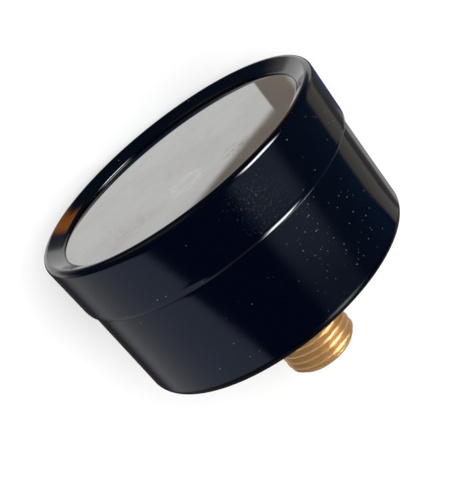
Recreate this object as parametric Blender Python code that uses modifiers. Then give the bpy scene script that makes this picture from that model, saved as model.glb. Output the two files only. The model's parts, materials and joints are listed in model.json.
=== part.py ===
"""Back-connection dial pressure gauge, 50 mm nominal size, with a C-shaped Bourdon tube.

The gauge's axis is world Y: the dial faces -Y, the threaded stem points +Y and +Z is 12 o'clock.
Everything hangs on one empty whose local axes are the dial's: x right, y up, z towards the reader.
Depths are measured along the axis, backwards from the crest of the bezel.
The world origin is on the axis, halfway between the bezel's crest and the stem's end.
"""

import math

import bmesh
import bpy
from mathutils import Matrix, Vector

MM = 0.001
GAP = 0.3 * MM                     # clearance between pieces that rest on each other
MERGE = 0.000001                   # merge distance of every merging modifier
ROUND_STEPS = 48                   # facets around the large turned shells
SMOOTH_ANGLE = math.radians(32)    # edges sharper than this stay sharp

# Overall length, crest of the bezel to end of the stem
OVERALL_LENGTH = 43.2 * MM

# Bezel
BEZEL_RADIUS = 26.5 * MM
BEZEL_REAR_RADIUS = 26.2 * MM
BEZEL_BORE_RADIUS = 25.3 * MM
BEZEL_CREST_RADIUS = 25.7 * MM
BEZEL_RIM = 0.85 * MM              # radius of the rounded rim
BEZEL_FUNNEL_RADIUS = 23.45 * MM   # where the funnel ends behind the lip
BEZEL_LIP_RADIUS = 22.9 * MM
BEZEL_LIP_DEPTH = 1.25 * MM
BEZEL_SIDE_END = 9.5 * MM
BEZEL_DEPTH = 10.4 * MM
SHEET = 0.6 * MM                   # sheet thickness of case and bezel

# Case
CASE_RADIUS = 25.6 * MM
CASE_REAR_RADIUS = 25.3 * MM
CASE_MOUTH_RADIUS = 25.0 * MM
CASE_MOUTH_DEPTH = 5.1 * MM
CASE_BACK_DEPTH = 28.3 * MM
CASE_CORNER = 1.6 * MM
CASE_NECK_HOLE = 7.1 * MM
CASE_SCREW_HOLE = 1.6 * MM

# Window and its seal
WINDOW_RADIUS = 25.0 * MM
WINDOW_DEPTH = 1.85 * MM
WINDOW_THICKNESS = 1.8 * MM
WINDOW_CHAMFER = 0.2 * MM
GASKET_INNER = 23.7 * MM
GASKET_THICKNESS = 0.85 * MM

# Dial
DIAL_RADIUS = 24.0 * MM
DIAL_DEPTH = 7.6 * MM
DIAL_THICKNESS = 0.5 * MM
DIAL_CENTRE_HOLE = 1.6 * MM
DIAL_SCREW_OFFSET = 6.3 * MM
DIAL_SCREW_HOLE = 0.8 * MM
DIAL_SCREW_FRONT = 6.7 * MM
DIAL_SCREW_HEAD = 1.2 * MM
DIAL_SCREW_SHANK = 0.5 * MM

# Pointer and its hub
POINTER_DEPTH = 5.7 * MM
POINTER_THICKNESS = 0.4 * MM
POINTER_REACH = 17.5 * MM
POINTER_TAIL = 6.2 * MM
HUB_CAP_RADIUS = 2.1 * MM
HUB_CAP_DEPTH = 4.9 * MM
HUB_BUSH_RADIUS = 1.0 * MM
HUB_BUSH_END = 7.2 * MM
HUB_SOCKET_RADIUS = 0.65 * MM
POINTER_HOLE = 1.3 * MM
POINTER_BOSS = 2.0 * MM
ZERO_ANGLE = math.radians(225)     # pointer direction at zero, counter-clockwise from 3 o'clock
STOP_PIN_ORBIT = 14.0 * MM
STOP_PIN_OFFSET = 1.2 * MM
STOP_PIN_FRONT = 5.2 * MM
STOP_PIN_RADIUS = 0.4 * MM
STOP_PIN_HOLE = 0.7 * MM
STOP_PIN_FLANGE = 0.9 * MM

# Movement: two plates, three pillars, pinion and sector
FRONT_PLATE_DEPTH = 8.4 * MM
BACK_PLATE_DEPTH = 14.2 * MM
PLATE_THICKNESS = 1.0 * MM
PLATE_HEAD = -7.5 * MM             # plate ends along the line from pinion to sector pivot
PLATE_FOOT = 15.5 * MM
PLATE_HALF_WIDTH = 7.5 * MM
PLATE_CORNER = 2.0 * MM
PILLAR_PLACES = ((-5.3 * MM, 5.6 * MM), (-5.3 * MM, -5.6 * MM), (13.0 * MM, -5.2 * MM))
MOUNTING_PLACES = ((-2.5 * MM, 3.6 * MM), (2.8 * MM, -7.5 * MM))
PILLAR_RADIUS = 1.3 * MM
PIVOT_RADIUS = 0.4 * MM
PIVOT_HOLE = 0.65 * MM
RIVET_HOLE = 0.9 * MM
RIVET_RADIUS = 0.6 * MM
PLATE_SCREW_HOLE = 0.75 * MM
PLATE_SCREW_SHANK = 0.45 * MM
PLATE_SCREW_HEAD = 1.2 * MM
MOVEMENT_SCREW_HOLE = 0.95 * MM
MOVEMENT_SCREW_SHANK = 0.65 * MM
MOVEMENT_SCREW_HEAD = 1.4 * MM
MOVEMENT_SCREW_FRONT = 13.35 * MM
MOVEMENT_SCREW_END = 17.6 * MM

# Arbors of pinion and sector: thin ends in the plates, thicker between two shoulders
PINION_ARBOR_FRONT = 6.0 * MM
ARBOR_SHOULDER_FRONT = 9.7 * MM
ARBOR_SHOULDER_BACK = 13.9 * MM
ARBOR_BACK = 15.1 * MM
PINION_ARBOR_RADIUS = 0.65 * MM
SECTOR_ARBOR_RADIUS = 0.7 * MM

# Gear pair
MODULE = 0.25 * MM
PINION_TEETH = 10
SECTOR_FULL_TEETH = 80
SECTOR_TEETH = 11
PRESSURE_ANGLE = math.radians(20)
BACKLASH = 0.05 * MM
ADDENDUM = 0.9                     # tooth heights above and below the pitch circle, in modules
DEDENDUM = 1.15
PINION_DEPTH = 11.4 * MM
PINION_WIDTH = 1.8 * MM
SECTOR_DEPTH = 11.8 * MM
SECTOR_THICKNESS = 1.0 * MM
SECTOR_DIRECTION = math.radians(-50)
POINTER_SWEEP = math.radians(270)
SECTOR_SWEEP = POINTER_SWEEP * PINION_TEETH / SECTOR_FULL_TEETH
CENTRE_DISTANCE = MODULE * (PINION_TEETH + SECTOR_FULL_TEETH) / 2

# Tail of the sector, link and tube tip
TAIL_LENGTH = 4.69 * MM
TAIL_DIRECTION = math.radians(-19.86)
TIP_PIN = (16.24 * MM, 3.45 * MM)
LINK_DEPTH = 10.9 * MM
LINK_THICKNESS = 0.6 * MM
LINK_RADIUS = 1.3 * MM
LINK_TIP_HOLE = 0.7 * MM
LINK_TAIL_HOLE = 0.85 * MM         # wide, because this pivot stays open
PIN_HEAD_RADIUS = 1.1 * MM
PIN_HEAD_HEIGHT = 0.45 * MM
TIP_PIN_END = 14.2 * MM

# Hairspring
HAIRSPRING_DEPTH = 10.1 * MM
HAIRSPRING_HEIGHT = 0.6 * MM
HAIRSPRING_TURNS = 4.5
HAIRSPRING_INNER = 1.85 * MM
HAIRSPRING_OUTER = 5.2 * MM
HAIRSPRING_THICKNESS = 0.12 * MM
HAIRSPRING_STEPS = 72
COLLET_FRONT = 9.9 * MM
COLLET_BACK = 10.9 * MM
COLLET_RADIUS = 1.55 * MM
COLLET_BORE = 0.95 * MM
STUD_ORBIT = 6.0 * MM
STUD_DIRECTION = math.radians(40)
STUD_FRONT = 9.7 * MM
STUD_BACK = 11.0 * MM
STUD_RADIUS = 0.55 * MM

# Bourdon tube, a flattened oval section on an arc
TUBE_RADIUS = 18.0 * MM
TUBE_WIDTH = 6.0 * MM
TUBE_HEIGHT = 2.8 * MM
TUBE_WALL = 0.45 * MM
TUBE_MIDDLE = 19.5 * MM
TUBE_TIP = math.radians(20)
TUBE_ARC = math.radians(256)
TUBE_STEPS = 28
TIP_HALF_WIDTH = 2.2 * MM
TIP_HALF_DEPTH = 3.6 * MM

# Socket, wrench square and pipe thread (13.157 mm major diameter, 19 threads per inch)
BLOCK_HALF_WIDTH = 4.75 * MM
BLOCK_FRONT = 15.5 * MM
BLOCK_BACK = 27.4 * MM
BLOCK_BOTTOM = -20.5 * MM
BLOCK_TOP = 5.8 * MM
BAR_FRONT = 22.5 * MM              # the bar behind the block reaches up to the upper case screw
BAR_TOP = 14.5 * MM
NECK_RADIUS = 6.8 * MM
WRENCH_DEPTH = 28.6 * MM
WRENCH_LENGTH = 4.5 * MM
WRENCH_FLATS = 14.0 * MM
WRENCH_CORNER_RADIUS = 8.6 * MM
THREAD_MAJOR_RADIUS = 6.5785 * MM
THREAD_MINOR_RADIUS = 5.74 * MM
THREAD_PITCH = 1.337 * MM
THREAD_STEPS = 24
BORE_RADIUS = 2.5 * MM
CHANNEL_RADIUS = 1.25 * MM
CROSS_CHANNEL_RADIUS = 0.7 * MM
CASE_SCREW_ORBIT = 12.0 * MM
CASE_SCREW_FRONT = 24.5 * MM
CASE_SCREW_SHANK = 1.25 * MM
CASE_SCREW_HEAD = 2.4 * MM
CASE_SCREW_TAPPING = 1.55 * MM
CASE_SCREW_PLACES = ((0.0, CASE_SCREW_ORBIT), (0.0, -CASE_SCREW_ORBIT))


# ---------------------------------------------------------------- scene helpers

def clear_scene():
    for obj in list(bpy.data.objects):
        bpy.data.objects.remove(obj)


def new_collection(name):
    collection = bpy.data.collections.new(name)
    bpy.context.scene.collection.children.link(collection)
    return collection


def new_material(name, color, roughness, metallic=0.0):
    material = bpy.data.materials.new(name)
    material.use_nodes = True
    shader = material.node_tree.nodes["Principled BSDF"]
    shader.inputs["Base Color"].default_value = (*color, 1.0)
    shader.inputs["Roughness"].default_value = roughness
    shader.inputs["Metallic"].default_value = metallic
    return material


def height(depth):
    """Local z of a depth behind the bezel's crest."""
    return OVERALL_LENGTH / 2 - depth


def polar(radius, angle):
    return (radius * math.cos(angle), radius * math.sin(angle))


def add_part(name, mesh, look, parent=None, place=(0.0, 0.0)):
    """Put a mesh in the gauge's collection, at a point of the dial plane."""
    obj = bpy.data.objects.new(name, mesh)
    PARTS.objects.link(obj)
    color, roughness, metallic = look
    mesh.materials.append(new_material(name, color, roughness, metallic))
    obj.parent = parent or GAUGE
    obj.location = (place[0], place[1], 0.0)
    return obj


def add_cutter(name, mesh, place=(0.0, 0.0)):
    """Put a helper solid in the cutters' collection, hidden from renders."""
    obj = bpy.data.objects.new(name, mesh)
    CUTTERS.objects.link(obj)
    obj.parent = GAUGE
    obj.location = (place[0], place[1], 0.0)
    obj.hide_render = True
    obj.display_type = "WIRE"
    return obj


def add_empty(name, place, parent):
    empty = bpy.data.objects.new(name, None)
    PARTS.objects.link(empty)
    empty.parent = parent
    empty.location = (place[0], place[1], 0.0)
    return empty


def boolean(obj, helper, operation):
    modifier = obj.modifiers.new(operation.title() + " " + helper.name, "BOOLEAN")
    modifier.operation = operation
    modifier.object = helper
    modifier.solver = "EXACT"


def cut(obj, helper):
    boolean(obj, helper, "DIFFERENCE")


def join(obj, helper):
    boolean(obj, helper, "UNION")


# ---------------------------------------------------------------- shape helpers

def profile_mesh(name, points, closed):
    """A profile in the local xz plane, from (radius, depth) pairs."""
    mesh = bpy.data.meshes.new(name)
    vertices = [(radius, 0.0, height(depth)) for radius, depth in points]
    edges = [(i, i + 1) for i in range(len(points) - 1)]
    if closed:
        edges.append((len(points) - 1, 0))
    mesh.from_pydata(vertices, edges, [])
    return mesh


def add_screw(obj, steps, angle=math.tau):
    screw = obj.modifiers.new("Turn", "SCREW")
    screw.angle = angle
    screw.steps = steps
    screw.render_steps = steps
    screw.use_merge_vertices = True
    screw.merge_threshold = MERGE
    screw.use_smooth_shade = False
    return screw


def turned(name, points, look, steps=ROUND_STEPS, parent=None, place=(0.0, 0.0)):
    """A turned piece. Its profile runs front to back on the outer side.

    A profile that starts and ends on the axis is solid, and any other is closed into a ring.
    """
    closed = points[0][0] > 0.0
    obj = add_part(name, profile_mesh(name, points, closed), look, parent, place)
    add_screw(obj, steps)
    return obj


def turned_cutter(name, points, steps=ROUND_STEPS, place=(0.0, 0.0)):
    closed = points[0][0] > 0.0
    obj = add_cutter(name, profile_mesh(name, points, closed), place)
    add_screw(obj, steps)
    return obj


def rounded_corner(radius_out, depth_back, corner, steps=3):
    """Points of a rounded outer rear corner, from the side to the back face."""
    points = []
    for i in range(steps + 1):
        angle = math.pi / 2 * i / steps
        radius = radius_out - corner + corner * math.cos(angle)
        points.append((radius, depth_back - corner + corner * math.sin(angle)))
    return points


def box_mesh(name, low, high):
    """A box between two corners given as (x, y, depth)."""
    bm = bmesh.new()
    size = [high[i] - low[i] for i in range(3)]
    middle = [(high[i] + low[i]) / 2 for i in range(3)]
    place = Matrix.Translation((middle[0], middle[1], height(middle[2])))
    bmesh.ops.create_cube(bm, size=1.0, matrix=place @ Matrix.Diagonal((*size, 1.0)))
    mesh = bpy.data.meshes.new(name)
    bm.to_mesh(mesh)
    bm.free()
    return mesh


def cylinders_mesh(name, radius, front, back, places, steps):
    """Separate cylinders along the gauge's axis, one at each place of the dial plane."""
    bm = bmesh.new()
    for x, y in places:
        middle = Matrix.Translation((x, y, height((front + back) / 2)))
        bmesh.ops.create_cone(bm, cap_ends=True, segments=steps, radius1=radius, radius2=radius,
                              depth=back - front, matrix=middle)
    mesh = bpy.data.meshes.new(name)
    bm.to_mesh(mesh)
    bm.free()
    return mesh


def drill(obj, radius, front, back, places=((0.0, 0.0),), steps=16):
    """Cut round holes along the gauge's axis through an object."""
    name = obj.name + " drill %.2f" % (radius / MM)
    cut(obj, add_cutter(name, cylinders_mesh(name, radius, front, back, places, steps)))


def drill_between(obj, start, end, radius, steps=12):
    """Cut a round hole between two points given as (x, y, depth)."""
    first = Vector((start[0], start[1], height(start[2])))
    last = Vector((end[0], end[1], height(end[2])))
    turn = (last - first).to_track_quat("Z", "Y").to_matrix().to_4x4()
    bm = bmesh.new()
    bmesh.ops.create_cone(bm, cap_ends=True, segments=steps, radius1=radius, radius2=radius,
                          depth=(last - first).length,
                          matrix=Matrix.Translation((first + last) / 2) @ turn)
    mesh = bpy.data.meshes.new("channel")
    bm.to_mesh(mesh)
    bm.free()
    cut(obj, add_cutter("channel", mesh))


def sheet_mesh(name, outline, front):
    """One flat face with the given outline, facing the reader."""
    bm = bmesh.new()
    face = bm.faces.new([bm.verts.new((x, y, height(front))) for x, y in outline])
    face.normal_update()
    if face.normal.z < 0:
        face.normal_flip()
    mesh = bpy.data.meshes.new(name)
    bm.to_mesh(mesh)
    bm.free()
    return mesh


def flat_part(name, outline, front, thickness, look, parent=None, place=(0.0, 0.0)):
    """A stamped flat piece: an outline thickened backwards."""
    obj = add_part(name, sheet_mesh(name, outline, front), look, parent, place)
    solidify = obj.modifiers.new("Thickness", "SOLIDIFY")
    solidify.thickness = thickness
    solidify.offset = -1.0
    return obj


def arc_points(centre, radius, start, end, steps):
    points = []
    for i in range(steps + 1):
        angle = start + (end - start) * i / steps
        points.append((centre[0] + radius * math.cos(angle), centre[1] + radius * math.sin(angle)))
    return points


def rounded_bar(start, end, radius, steps=6):
    """Outline of a bar with round ends about two points."""
    angle = math.atan2(end[1] - start[1], end[0] - start[0])
    points = arc_points(end, radius, angle - math.pi / 2, angle + math.pi / 2, steps)
    points += arc_points(start, radius, angle + math.pi / 2, angle + math.pi * 1.5, steps)
    return points


def movement_point(along, across):
    """A point of the movement, in its own directions: towards the sector's pivot, and across."""
    x = along * math.cos(SECTOR_DIRECTION) - across * math.sin(SECTOR_DIRECTION)
    y = along * math.sin(SECTOR_DIRECTION) + across * math.cos(SECTOR_DIRECTION)
    return (x, y)


# ---------------------------------------------------------------- looks

BLACK_PAINT = ((0.006, 0.006, 0.008), 0.16, 0.0)
CLEAR_GLASS = ((0.85, 0.86, 0.85), 0.03, 0.0)
BLACK_RUBBER = ((0.015, 0.015, 0.015), 0.75, 0.0)
WHITE_PAINT = ((0.80, 0.80, 0.77), 0.40, 0.0)
POINTER_BLACK = ((0.012, 0.012, 0.013), 0.35, 0.0)
BRASS = ((0.62, 0.40, 0.17), 0.28, 1.0)
YELLOW_BRASS = ((0.72, 0.53, 0.24), 0.25, 1.0)
BRONZE = ((0.55, 0.30, 0.14), 0.30, 1.0)
STEEL = ((0.55, 0.55, 0.55), 0.30, 1.0)
SPRING_BRONZE = ((0.66, 0.42, 0.20), 0.28, 1.0)


# ---------------------------------------------------------------- shells

def make_bezel():
    """A pressed ring: rounded rim, funnel down to the window and a rounded rear edge."""
    inner_edge = BEZEL_CREST_RADIUS - 0.25 * MM
    rim_back = BEZEL_RIM + 0.45 * MM
    lip_back = WINDOW_DEPTH - GAP
    turned("bezel", [
        (inner_edge, 0.07 * MM),
        (BEZEL_CREST_RADIUS, 0.0),
        (BEZEL_RADIUS - 0.4 * MM, 0.12 * MM),
        (BEZEL_RADIUS - 0.12 * MM, 0.4 * MM),
        (BEZEL_RADIUS, BEZEL_RIM),
        (BEZEL_REAR_RADIUS, BEZEL_SIDE_END),
        (BEZEL_REAR_RADIUS - 0.12 * MM, BEZEL_DEPTH - 0.3 * MM),
        (BEZEL_REAR_RADIUS - 0.4 * MM, BEZEL_DEPTH),
        (BEZEL_BORE_RADIUS, BEZEL_DEPTH),
        (BEZEL_BORE_RADIUS, rim_back),
        (BEZEL_BORE_RADIUS - GAP, BEZEL_RIM),
        (BEZEL_FUNNEL_RADIUS, lip_back),
        (BEZEL_LIP_RADIUS, lip_back),
        (BEZEL_LIP_RADIUS, BEZEL_LIP_DEPTH),
    ], BLACK_PAINT)


def make_case():
    """A drawn cup: necked mouth under the bezel, slight taper, rounded rear corner."""
    shoulder = BEZEL_DEPTH + GAP
    mouth_inner = CASE_MOUTH_RADIUS - SHEET
    inner_back = CASE_BACK_DEPTH - SHEET
    outline = [
        (CASE_MOUTH_RADIUS, CASE_MOUTH_DEPTH),
        (CASE_MOUTH_RADIUS, shoulder - GAP),
        (CASE_RADIUS, shoulder),
    ]
    outline += rounded_corner(CASE_REAR_RADIUS, CASE_BACK_DEPTH, CASE_CORNER)
    outline += [(CASE_NECK_HOLE, CASE_BACK_DEPTH), (CASE_NECK_HOLE, inner_back)]
    outline += reversed(rounded_corner(CASE_REAR_RADIUS - SHEET, inner_back, CASE_CORNER - SHEET, 2))
    outline += [
        (CASE_RADIUS - SHEET, shoulder + SHEET),
        (mouth_inner, shoulder + SHEET - GAP),
        (mouth_inner, CASE_MOUTH_DEPTH),
    ]
    case = turned("case", outline, BLACK_PAINT)
    drill(case, CASE_SCREW_HOLE, inner_back - MM, CASE_BACK_DEPTH + MM, CASE_SCREW_PLACES)


def make_window():
    """A flat clear disc with a small chamfer at both edges."""
    edge = WINDOW_CHAMFER
    back = WINDOW_DEPTH + WINDOW_THICKNESS
    turned("window", [
        (0.0, WINDOW_DEPTH),
        (WINDOW_RADIUS - edge, WINDOW_DEPTH),
        (WINDOW_RADIUS, WINDOW_DEPTH + edge),
        (WINDOW_RADIUS, back - edge),
        (WINDOW_RADIUS - edge, back),
        (0.0, back),
    ], CLEAR_GLASS)


def make_window_gasket():
    """A flat rubber ring between the window and the case's mouth."""
    front = WINDOW_DEPTH + WINDOW_THICKNESS + GAP
    back = front + GASKET_THICKNESS
    turned("window_gasket", [
        (CASE_MOUTH_RADIUS, front),
        (CASE_MOUTH_RADIUS, back),
        (GASKET_INNER, back),
        (GASKET_INNER, front),
    ], BLACK_RUBBER, steps=36)


# ---------------------------------------------------------------- dial and pointer

def dial_screw_places():
    return [movement_point(DIAL_SCREW_OFFSET, 0.0), movement_point(-DIAL_SCREW_OFFSET, 0.0)]


def stop_pin_place():
    """Beside the pointer's zero, on the side it comes from."""
    x, y = polar(STOP_PIN_ORBIT, ZERO_ANGLE)
    side_x, side_y = polar(STOP_PIN_OFFSET, ZERO_ANGLE + math.pi / 2)
    return (x + side_x, y + side_y)


def make_dial_plate():
    back = DIAL_DEPTH + DIAL_THICKNESS
    dial = turned("dial_plate", [
        (DIAL_RADIUS, DIAL_DEPTH),
        (DIAL_RADIUS, back),
        (DIAL_CENTRE_HOLE, back),
        (DIAL_CENTRE_HOLE, DIAL_DEPTH),
    ], WHITE_PAINT)
    drill(dial, DIAL_SCREW_HOLE, DIAL_DEPTH - MM, back + MM, dial_screw_places(), 12)
    drill(dial, STOP_PIN_HOLE, DIAL_DEPTH - MM, back + MM, [stop_pin_place()], 12)


def slot_cutter(name, width, front, depth, length, place):
    """A screwdriver slot in a head that starts at the given depth."""
    low = (-length / 2, -width / 2, front - MM)
    high = (length / 2, width / 2, front + depth)
    return add_cutter(name, box_mesh(name, low, high), place)


def make_dial_screws():
    """Cheese-head screws through the dial into the front plate."""
    front = DIAL_SCREW_FRONT
    shoulder = DIAL_DEPTH - GAP
    end = FRONT_PLATE_DEPTH + PLATE_THICKNESS - 0.1 * MM
    chamfer = 0.15 * MM
    for number, place in enumerate(dial_screw_places(), 1):
        name = "dial_screw_%d" % number
        screw = turned(name, [
            (0.0, front),
            (DIAL_SCREW_HEAD - chamfer, front),
            (DIAL_SCREW_HEAD, front + chamfer),
            (DIAL_SCREW_HEAD, shoulder),
            (DIAL_SCREW_SHANK, shoulder),
            (DIAL_SCREW_SHANK, end),
            (0.0, end),
        ], STEEL, steps=20, place=place)
        cut(screw, slot_cutter(name + " slot", 0.35 * MM, front, 0.3 * MM, 4 * MM, place))


def make_stop_pin():
    """A pin riveted in the dial, beside the pointer's zero."""
    flange = DIAL_DEPTH + DIAL_THICKNESS + GAP
    end = flange + 0.5 * MM
    turned("stop_pin", [
        (0.0, STOP_PIN_FRONT),
        (STOP_PIN_RADIUS - 0.1 * MM, STOP_PIN_FRONT),
        (STOP_PIN_RADIUS, STOP_PIN_FRONT + 0.15 * MM),
        (STOP_PIN_RADIUS, flange),
        (STOP_PIN_FLANGE, flange),
        (STOP_PIN_FLANGE, end),
        (0.0, end),
    ], STEEL, steps=16, place=stop_pin_place())


def make_pointer(axis):
    """A tapered blade with a broad tail, and a boss around the hub. It points along local y."""
    tip = 0.12 * MM
    root = 0.75 * MM
    tail = 1.3 * MM
    corner = 0.5 * MM
    tail_start = -POINTER_TAIL + 0.6 * MM
    side = math.asin(root / POINTER_BOSS)
    outline = [(tip, POINTER_REACH), (-tip, POINTER_REACH)]
    outline += arc_points((0, 0), POINTER_BOSS, math.pi / 2 + side, math.pi * 1.5 - side, 8)
    outline += [(-tail, tail_start), (corner - tail, -POINTER_TAIL)]
    outline += [(tail - corner, -POINTER_TAIL), (tail, tail_start)]
    outline += arc_points((0, 0), POINTER_BOSS, -math.pi / 2 + side, math.pi / 2 - side, 8)
    pointer = flat_part("pointer", outline, POINTER_DEPTH, POINTER_THICKNESS, POINTER_BLACK, axis)
    pointer.rotation_euler = (0.0, 0.0, ZERO_ANGLE - math.pi / 2)
    drill(pointer, POINTER_HOLE, POINTER_DEPTH - MM, POINTER_DEPTH + MM)


def make_pointer_hub(axis):
    """A turned bush with a dished cap, seated on the front of the pinion's arbor."""
    cap_back = POINTER_DEPTH - GAP
    dish = HUB_CAP_DEPTH + 0.25 * MM
    dish_radius = 0.7 * MM
    turned("pointer_hub", [
        (0.0, dish),
        (dish_radius, dish),
        (dish_radius + 0.3 * MM, HUB_CAP_DEPTH),
        (HUB_CAP_RADIUS - 0.2 * MM, HUB_CAP_DEPTH),
        (HUB_CAP_RADIUS, HUB_CAP_DEPTH + 0.15 * MM),
        (HUB_CAP_RADIUS, cap_back),
        (HUB_BUSH_RADIUS, cap_back),
        (HUB_BUSH_RADIUS, HUB_BUSH_END),
        (HUB_SOCKET_RADIUS, HUB_BUSH_END),
        (HUB_SOCKET_RADIUS, POINTER_DEPTH),
        (0.0, POINTER_DEPTH),
    ], YELLOW_BRASS, steps=24, parent=axis)


# ---------------------------------------------------------------- gears

def tooth_half_angle(teeth, radius):
    """Half the angle that an involute tooth spans at a radius. Below the base circle it narrows."""
    pitch_radius = MODULE * teeth / 2
    base_radius = pitch_radius * math.cos(PRESSURE_ANGLE)
    at_pitch = math.pi / (2 * teeth) - BACKLASH / (2 * pitch_radius)
    inv_pitch = math.tan(PRESSURE_ANGLE) - PRESSURE_ANGLE
    if radius < base_radius:
        undercut = 0.45 * (base_radius - radius) / base_radius
        return at_pitch + inv_pitch - undercut
    pressure = math.acos(base_radius / radius)
    return at_pitch + inv_pitch - (math.tan(pressure) - pressure)


def tooth_points(teeth, centre_angle, steps=4):
    """One tooth's outline, counter-clockwise from its root to its root."""
    pitch_radius = MODULE * teeth / 2
    root = pitch_radius - DEDENDUM * MODULE
    tip = pitch_radius + ADDENDUM * MODULE
    radii = [root + (tip - root) * i / steps for i in range(steps + 1)]
    rising = [polar(r, centre_angle - tooth_half_angle(teeth, r)) for r in radii]
    falling = [polar(r, centre_angle + tooth_half_angle(teeth, r)) for r in reversed(radii)]
    return rising + falling


def arbor_profile(front, radius):
    """A shaft with thin ends for the plates, thicker between its shoulders."""
    return [
        (0.0, front),
        (PIVOT_RADIUS, front),
        (PIVOT_RADIUS, ARBOR_SHOULDER_FRONT),
        (radius, ARBOR_SHOULDER_FRONT),
        (radius, ARBOR_SHOULDER_BACK),
        (PIVOT_RADIUS, ARBOR_SHOULDER_BACK),
        (PIVOT_RADIUS, ARBOR_BACK),
        (0.0, ARBOR_BACK),
    ]


def make_pinion_arbor(axis):
    """The pinion and its shaft in one piece. A tooth gap faces the sector's pivot."""
    outline = []
    for tooth in range(PINION_TEETH):
        angle = SECTOR_DIRECTION + math.tau * (tooth + 0.5) / PINION_TEETH
        outline += tooth_points(PINION_TEETH, angle)
    arbor = flat_part("pinion_arbor", outline, PINION_DEPTH, PINION_WIDTH, STEEL, axis)
    profile = arbor_profile(PINION_ARBOR_FRONT, PINION_ARBOR_RADIUS)
    shaft = turned_cutter("pinion shaft", profile, steps=16)
    join(arbor, shaft)


def sector_pivot_place():
    return polar(CENTRE_DISTANCE, SECTOR_DIRECTION)


def make_sector_gear(axis):
    """A toothed segment, its hub and the tail that the link pulls, in one stamped piece.

    At rest one of its teeth lies on the line to the pinion, in the gap that the pinion has there.
    The segment's middle is about half a sweep away from that line.
    """
    pitch_angle = math.tau / SECTOR_FULL_TEETH
    to_pinion = SECTOR_DIRECTION + math.pi
    ahead = round(SECTOR_SWEEP / 2 / pitch_angle)
    first = ahead + (SECTOR_TEETH - 1) // 2
    outline = []
    for tooth in range(SECTOR_TEETH):
        outline += tooth_points(SECTOR_FULL_TEETH, to_pinion + (tooth - first) * pitch_angle)
    hub = 2.1 * MM
    arm = 1.25 * MM
    waist = 0.6                    # angle from the toothed rim's ends in to the hub, in radians
    start_angle = math.atan2(outline[0][1], outline[0][0])
    end_angle = math.atan2(outline[-1][1], outline[-1][0])
    tail_side = math.asin(arm / hub)
    tail_end = polar(TAIL_LENGTH, TAIL_DIRECTION)
    before_tail = TAIL_DIRECTION - tail_side + math.tau
    after_tail = TAIL_DIRECTION + tail_side
    outline += arc_points((0, 0), hub, end_angle + waist, before_tail, 6)
    outline += arc_points(tail_end, arm, TAIL_DIRECTION - math.pi / 2, TAIL_DIRECTION + math.pi / 2, 6)
    outline += arc_points((0, 0), hub, after_tail, start_angle - waist, 3)
    sector = flat_part("sector_gear", outline, SECTOR_DEPTH, SECTOR_THICKNESS, YELLOW_BRASS, axis)
    pivot = sector_pivot_place()
    tail = (pivot[0] + tail_end[0], pivot[1] + tail_end[1])
    back = SECTOR_DEPTH + SECTOR_THICKNESS
    drill(sector, SECTOR_ARBOR_RADIUS + GAP, SECTOR_DEPTH - MM, back + MM, [pivot])
    drill(sector, PIVOT_HOLE, SECTOR_DEPTH - MM, back + MM, [tail], 12)


def make_sector_arbor(axis):
    profile = arbor_profile(FRONT_PLATE_DEPTH + 0.1 * MM, SECTOR_ARBOR_RADIUS)
    turned("sector_arbor", profile, STEEL, steps=16, parent=axis)


# ---------------------------------------------------------------- movement frame

def plate_outline():
    """A rectangle with rounded corners, along the line from pinion to sector pivot."""
    corners = (
        (PLATE_FOOT, PLATE_HALF_WIDTH, 0.0),
        (PLATE_HEAD, PLATE_HALF_WIDTH, math.pi / 2),
        (PLATE_HEAD, -PLATE_HALF_WIDTH, math.pi),
        (PLATE_FOOT, -PLATE_HALF_WIDTH, math.pi * 1.5),
    )
    outline = []
    for along, across, start in corners:
        middle_along = along - math.copysign(PLATE_CORNER, along)
        middle_across = across - math.copysign(PLATE_CORNER, across)
        middle = (middle_along, middle_across)
        for point in arc_points(middle, PLATE_CORNER, start, start + math.pi / 2, 3):
            outline.append(movement_point(*point))
    return outline


def pillar_points():
    return [movement_point(*place) for place in PILLAR_PLACES]


def make_front_plate():
    back = FRONT_PLATE_DEPTH + PLATE_THICKNESS
    plate = flat_part("front_plate", plate_outline(), FRONT_PLATE_DEPTH, PLATE_THICKNESS, YELLOW_BRASS)
    front = FRONT_PLATE_DEPTH - MM
    drill(plate, PIVOT_HOLE, front, back + MM, [(0.0, 0.0), sector_pivot_place()], 12)
    drill(plate, RIVET_HOLE, front, back + MM, pillar_points(), 12)
    drill(plate, DIAL_SCREW_HOLE, front, back + MM, dial_screw_places(), 12)


def make_back_plate():
    back = BACK_PLATE_DEPTH + PLATE_THICKNESS
    plate = flat_part("back_plate", plate_outline(), BACK_PLATE_DEPTH, PLATE_THICKNESS, YELLOW_BRASS)
    front = BACK_PLATE_DEPTH - MM
    drill(plate, PIVOT_HOLE, front, back + MM, [(0.0, 0.0), sector_pivot_place()], 12)
    drill(plate, PLATE_SCREW_HOLE, front, back + MM, pillar_points(), 12)
    drill(plate, MOVEMENT_SCREW_HOLE, front, back + MM, MOUNTING_PLACES, 12)


def make_pillars():
    """Turned distance pieces, riveted through the front plate and tapped at the back."""
    front = FRONT_PLATE_DEPTH + PLATE_THICKNESS + GAP
    back = BACK_PLATE_DEPTH - GAP
    rivet_end = FRONT_PLATE_DEPTH + 0.2 * MM
    hole_end = BACK_PLATE_DEPTH - 2.8 * MM
    for number, place in enumerate(pillar_points(), 1):
        turned("pillar_%d" % number, [
            (0.0, rivet_end),
            (RIVET_RADIUS, rivet_end),
            (RIVET_RADIUS, front),
            (PILLAR_RADIUS, front),
            (PILLAR_RADIUS, back),
            (PLATE_SCREW_HOLE, back),
            (PLATE_SCREW_HOLE, hole_end),
            (0.0, hole_end),
        ], YELLOW_BRASS, steps=16, place=place)


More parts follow.
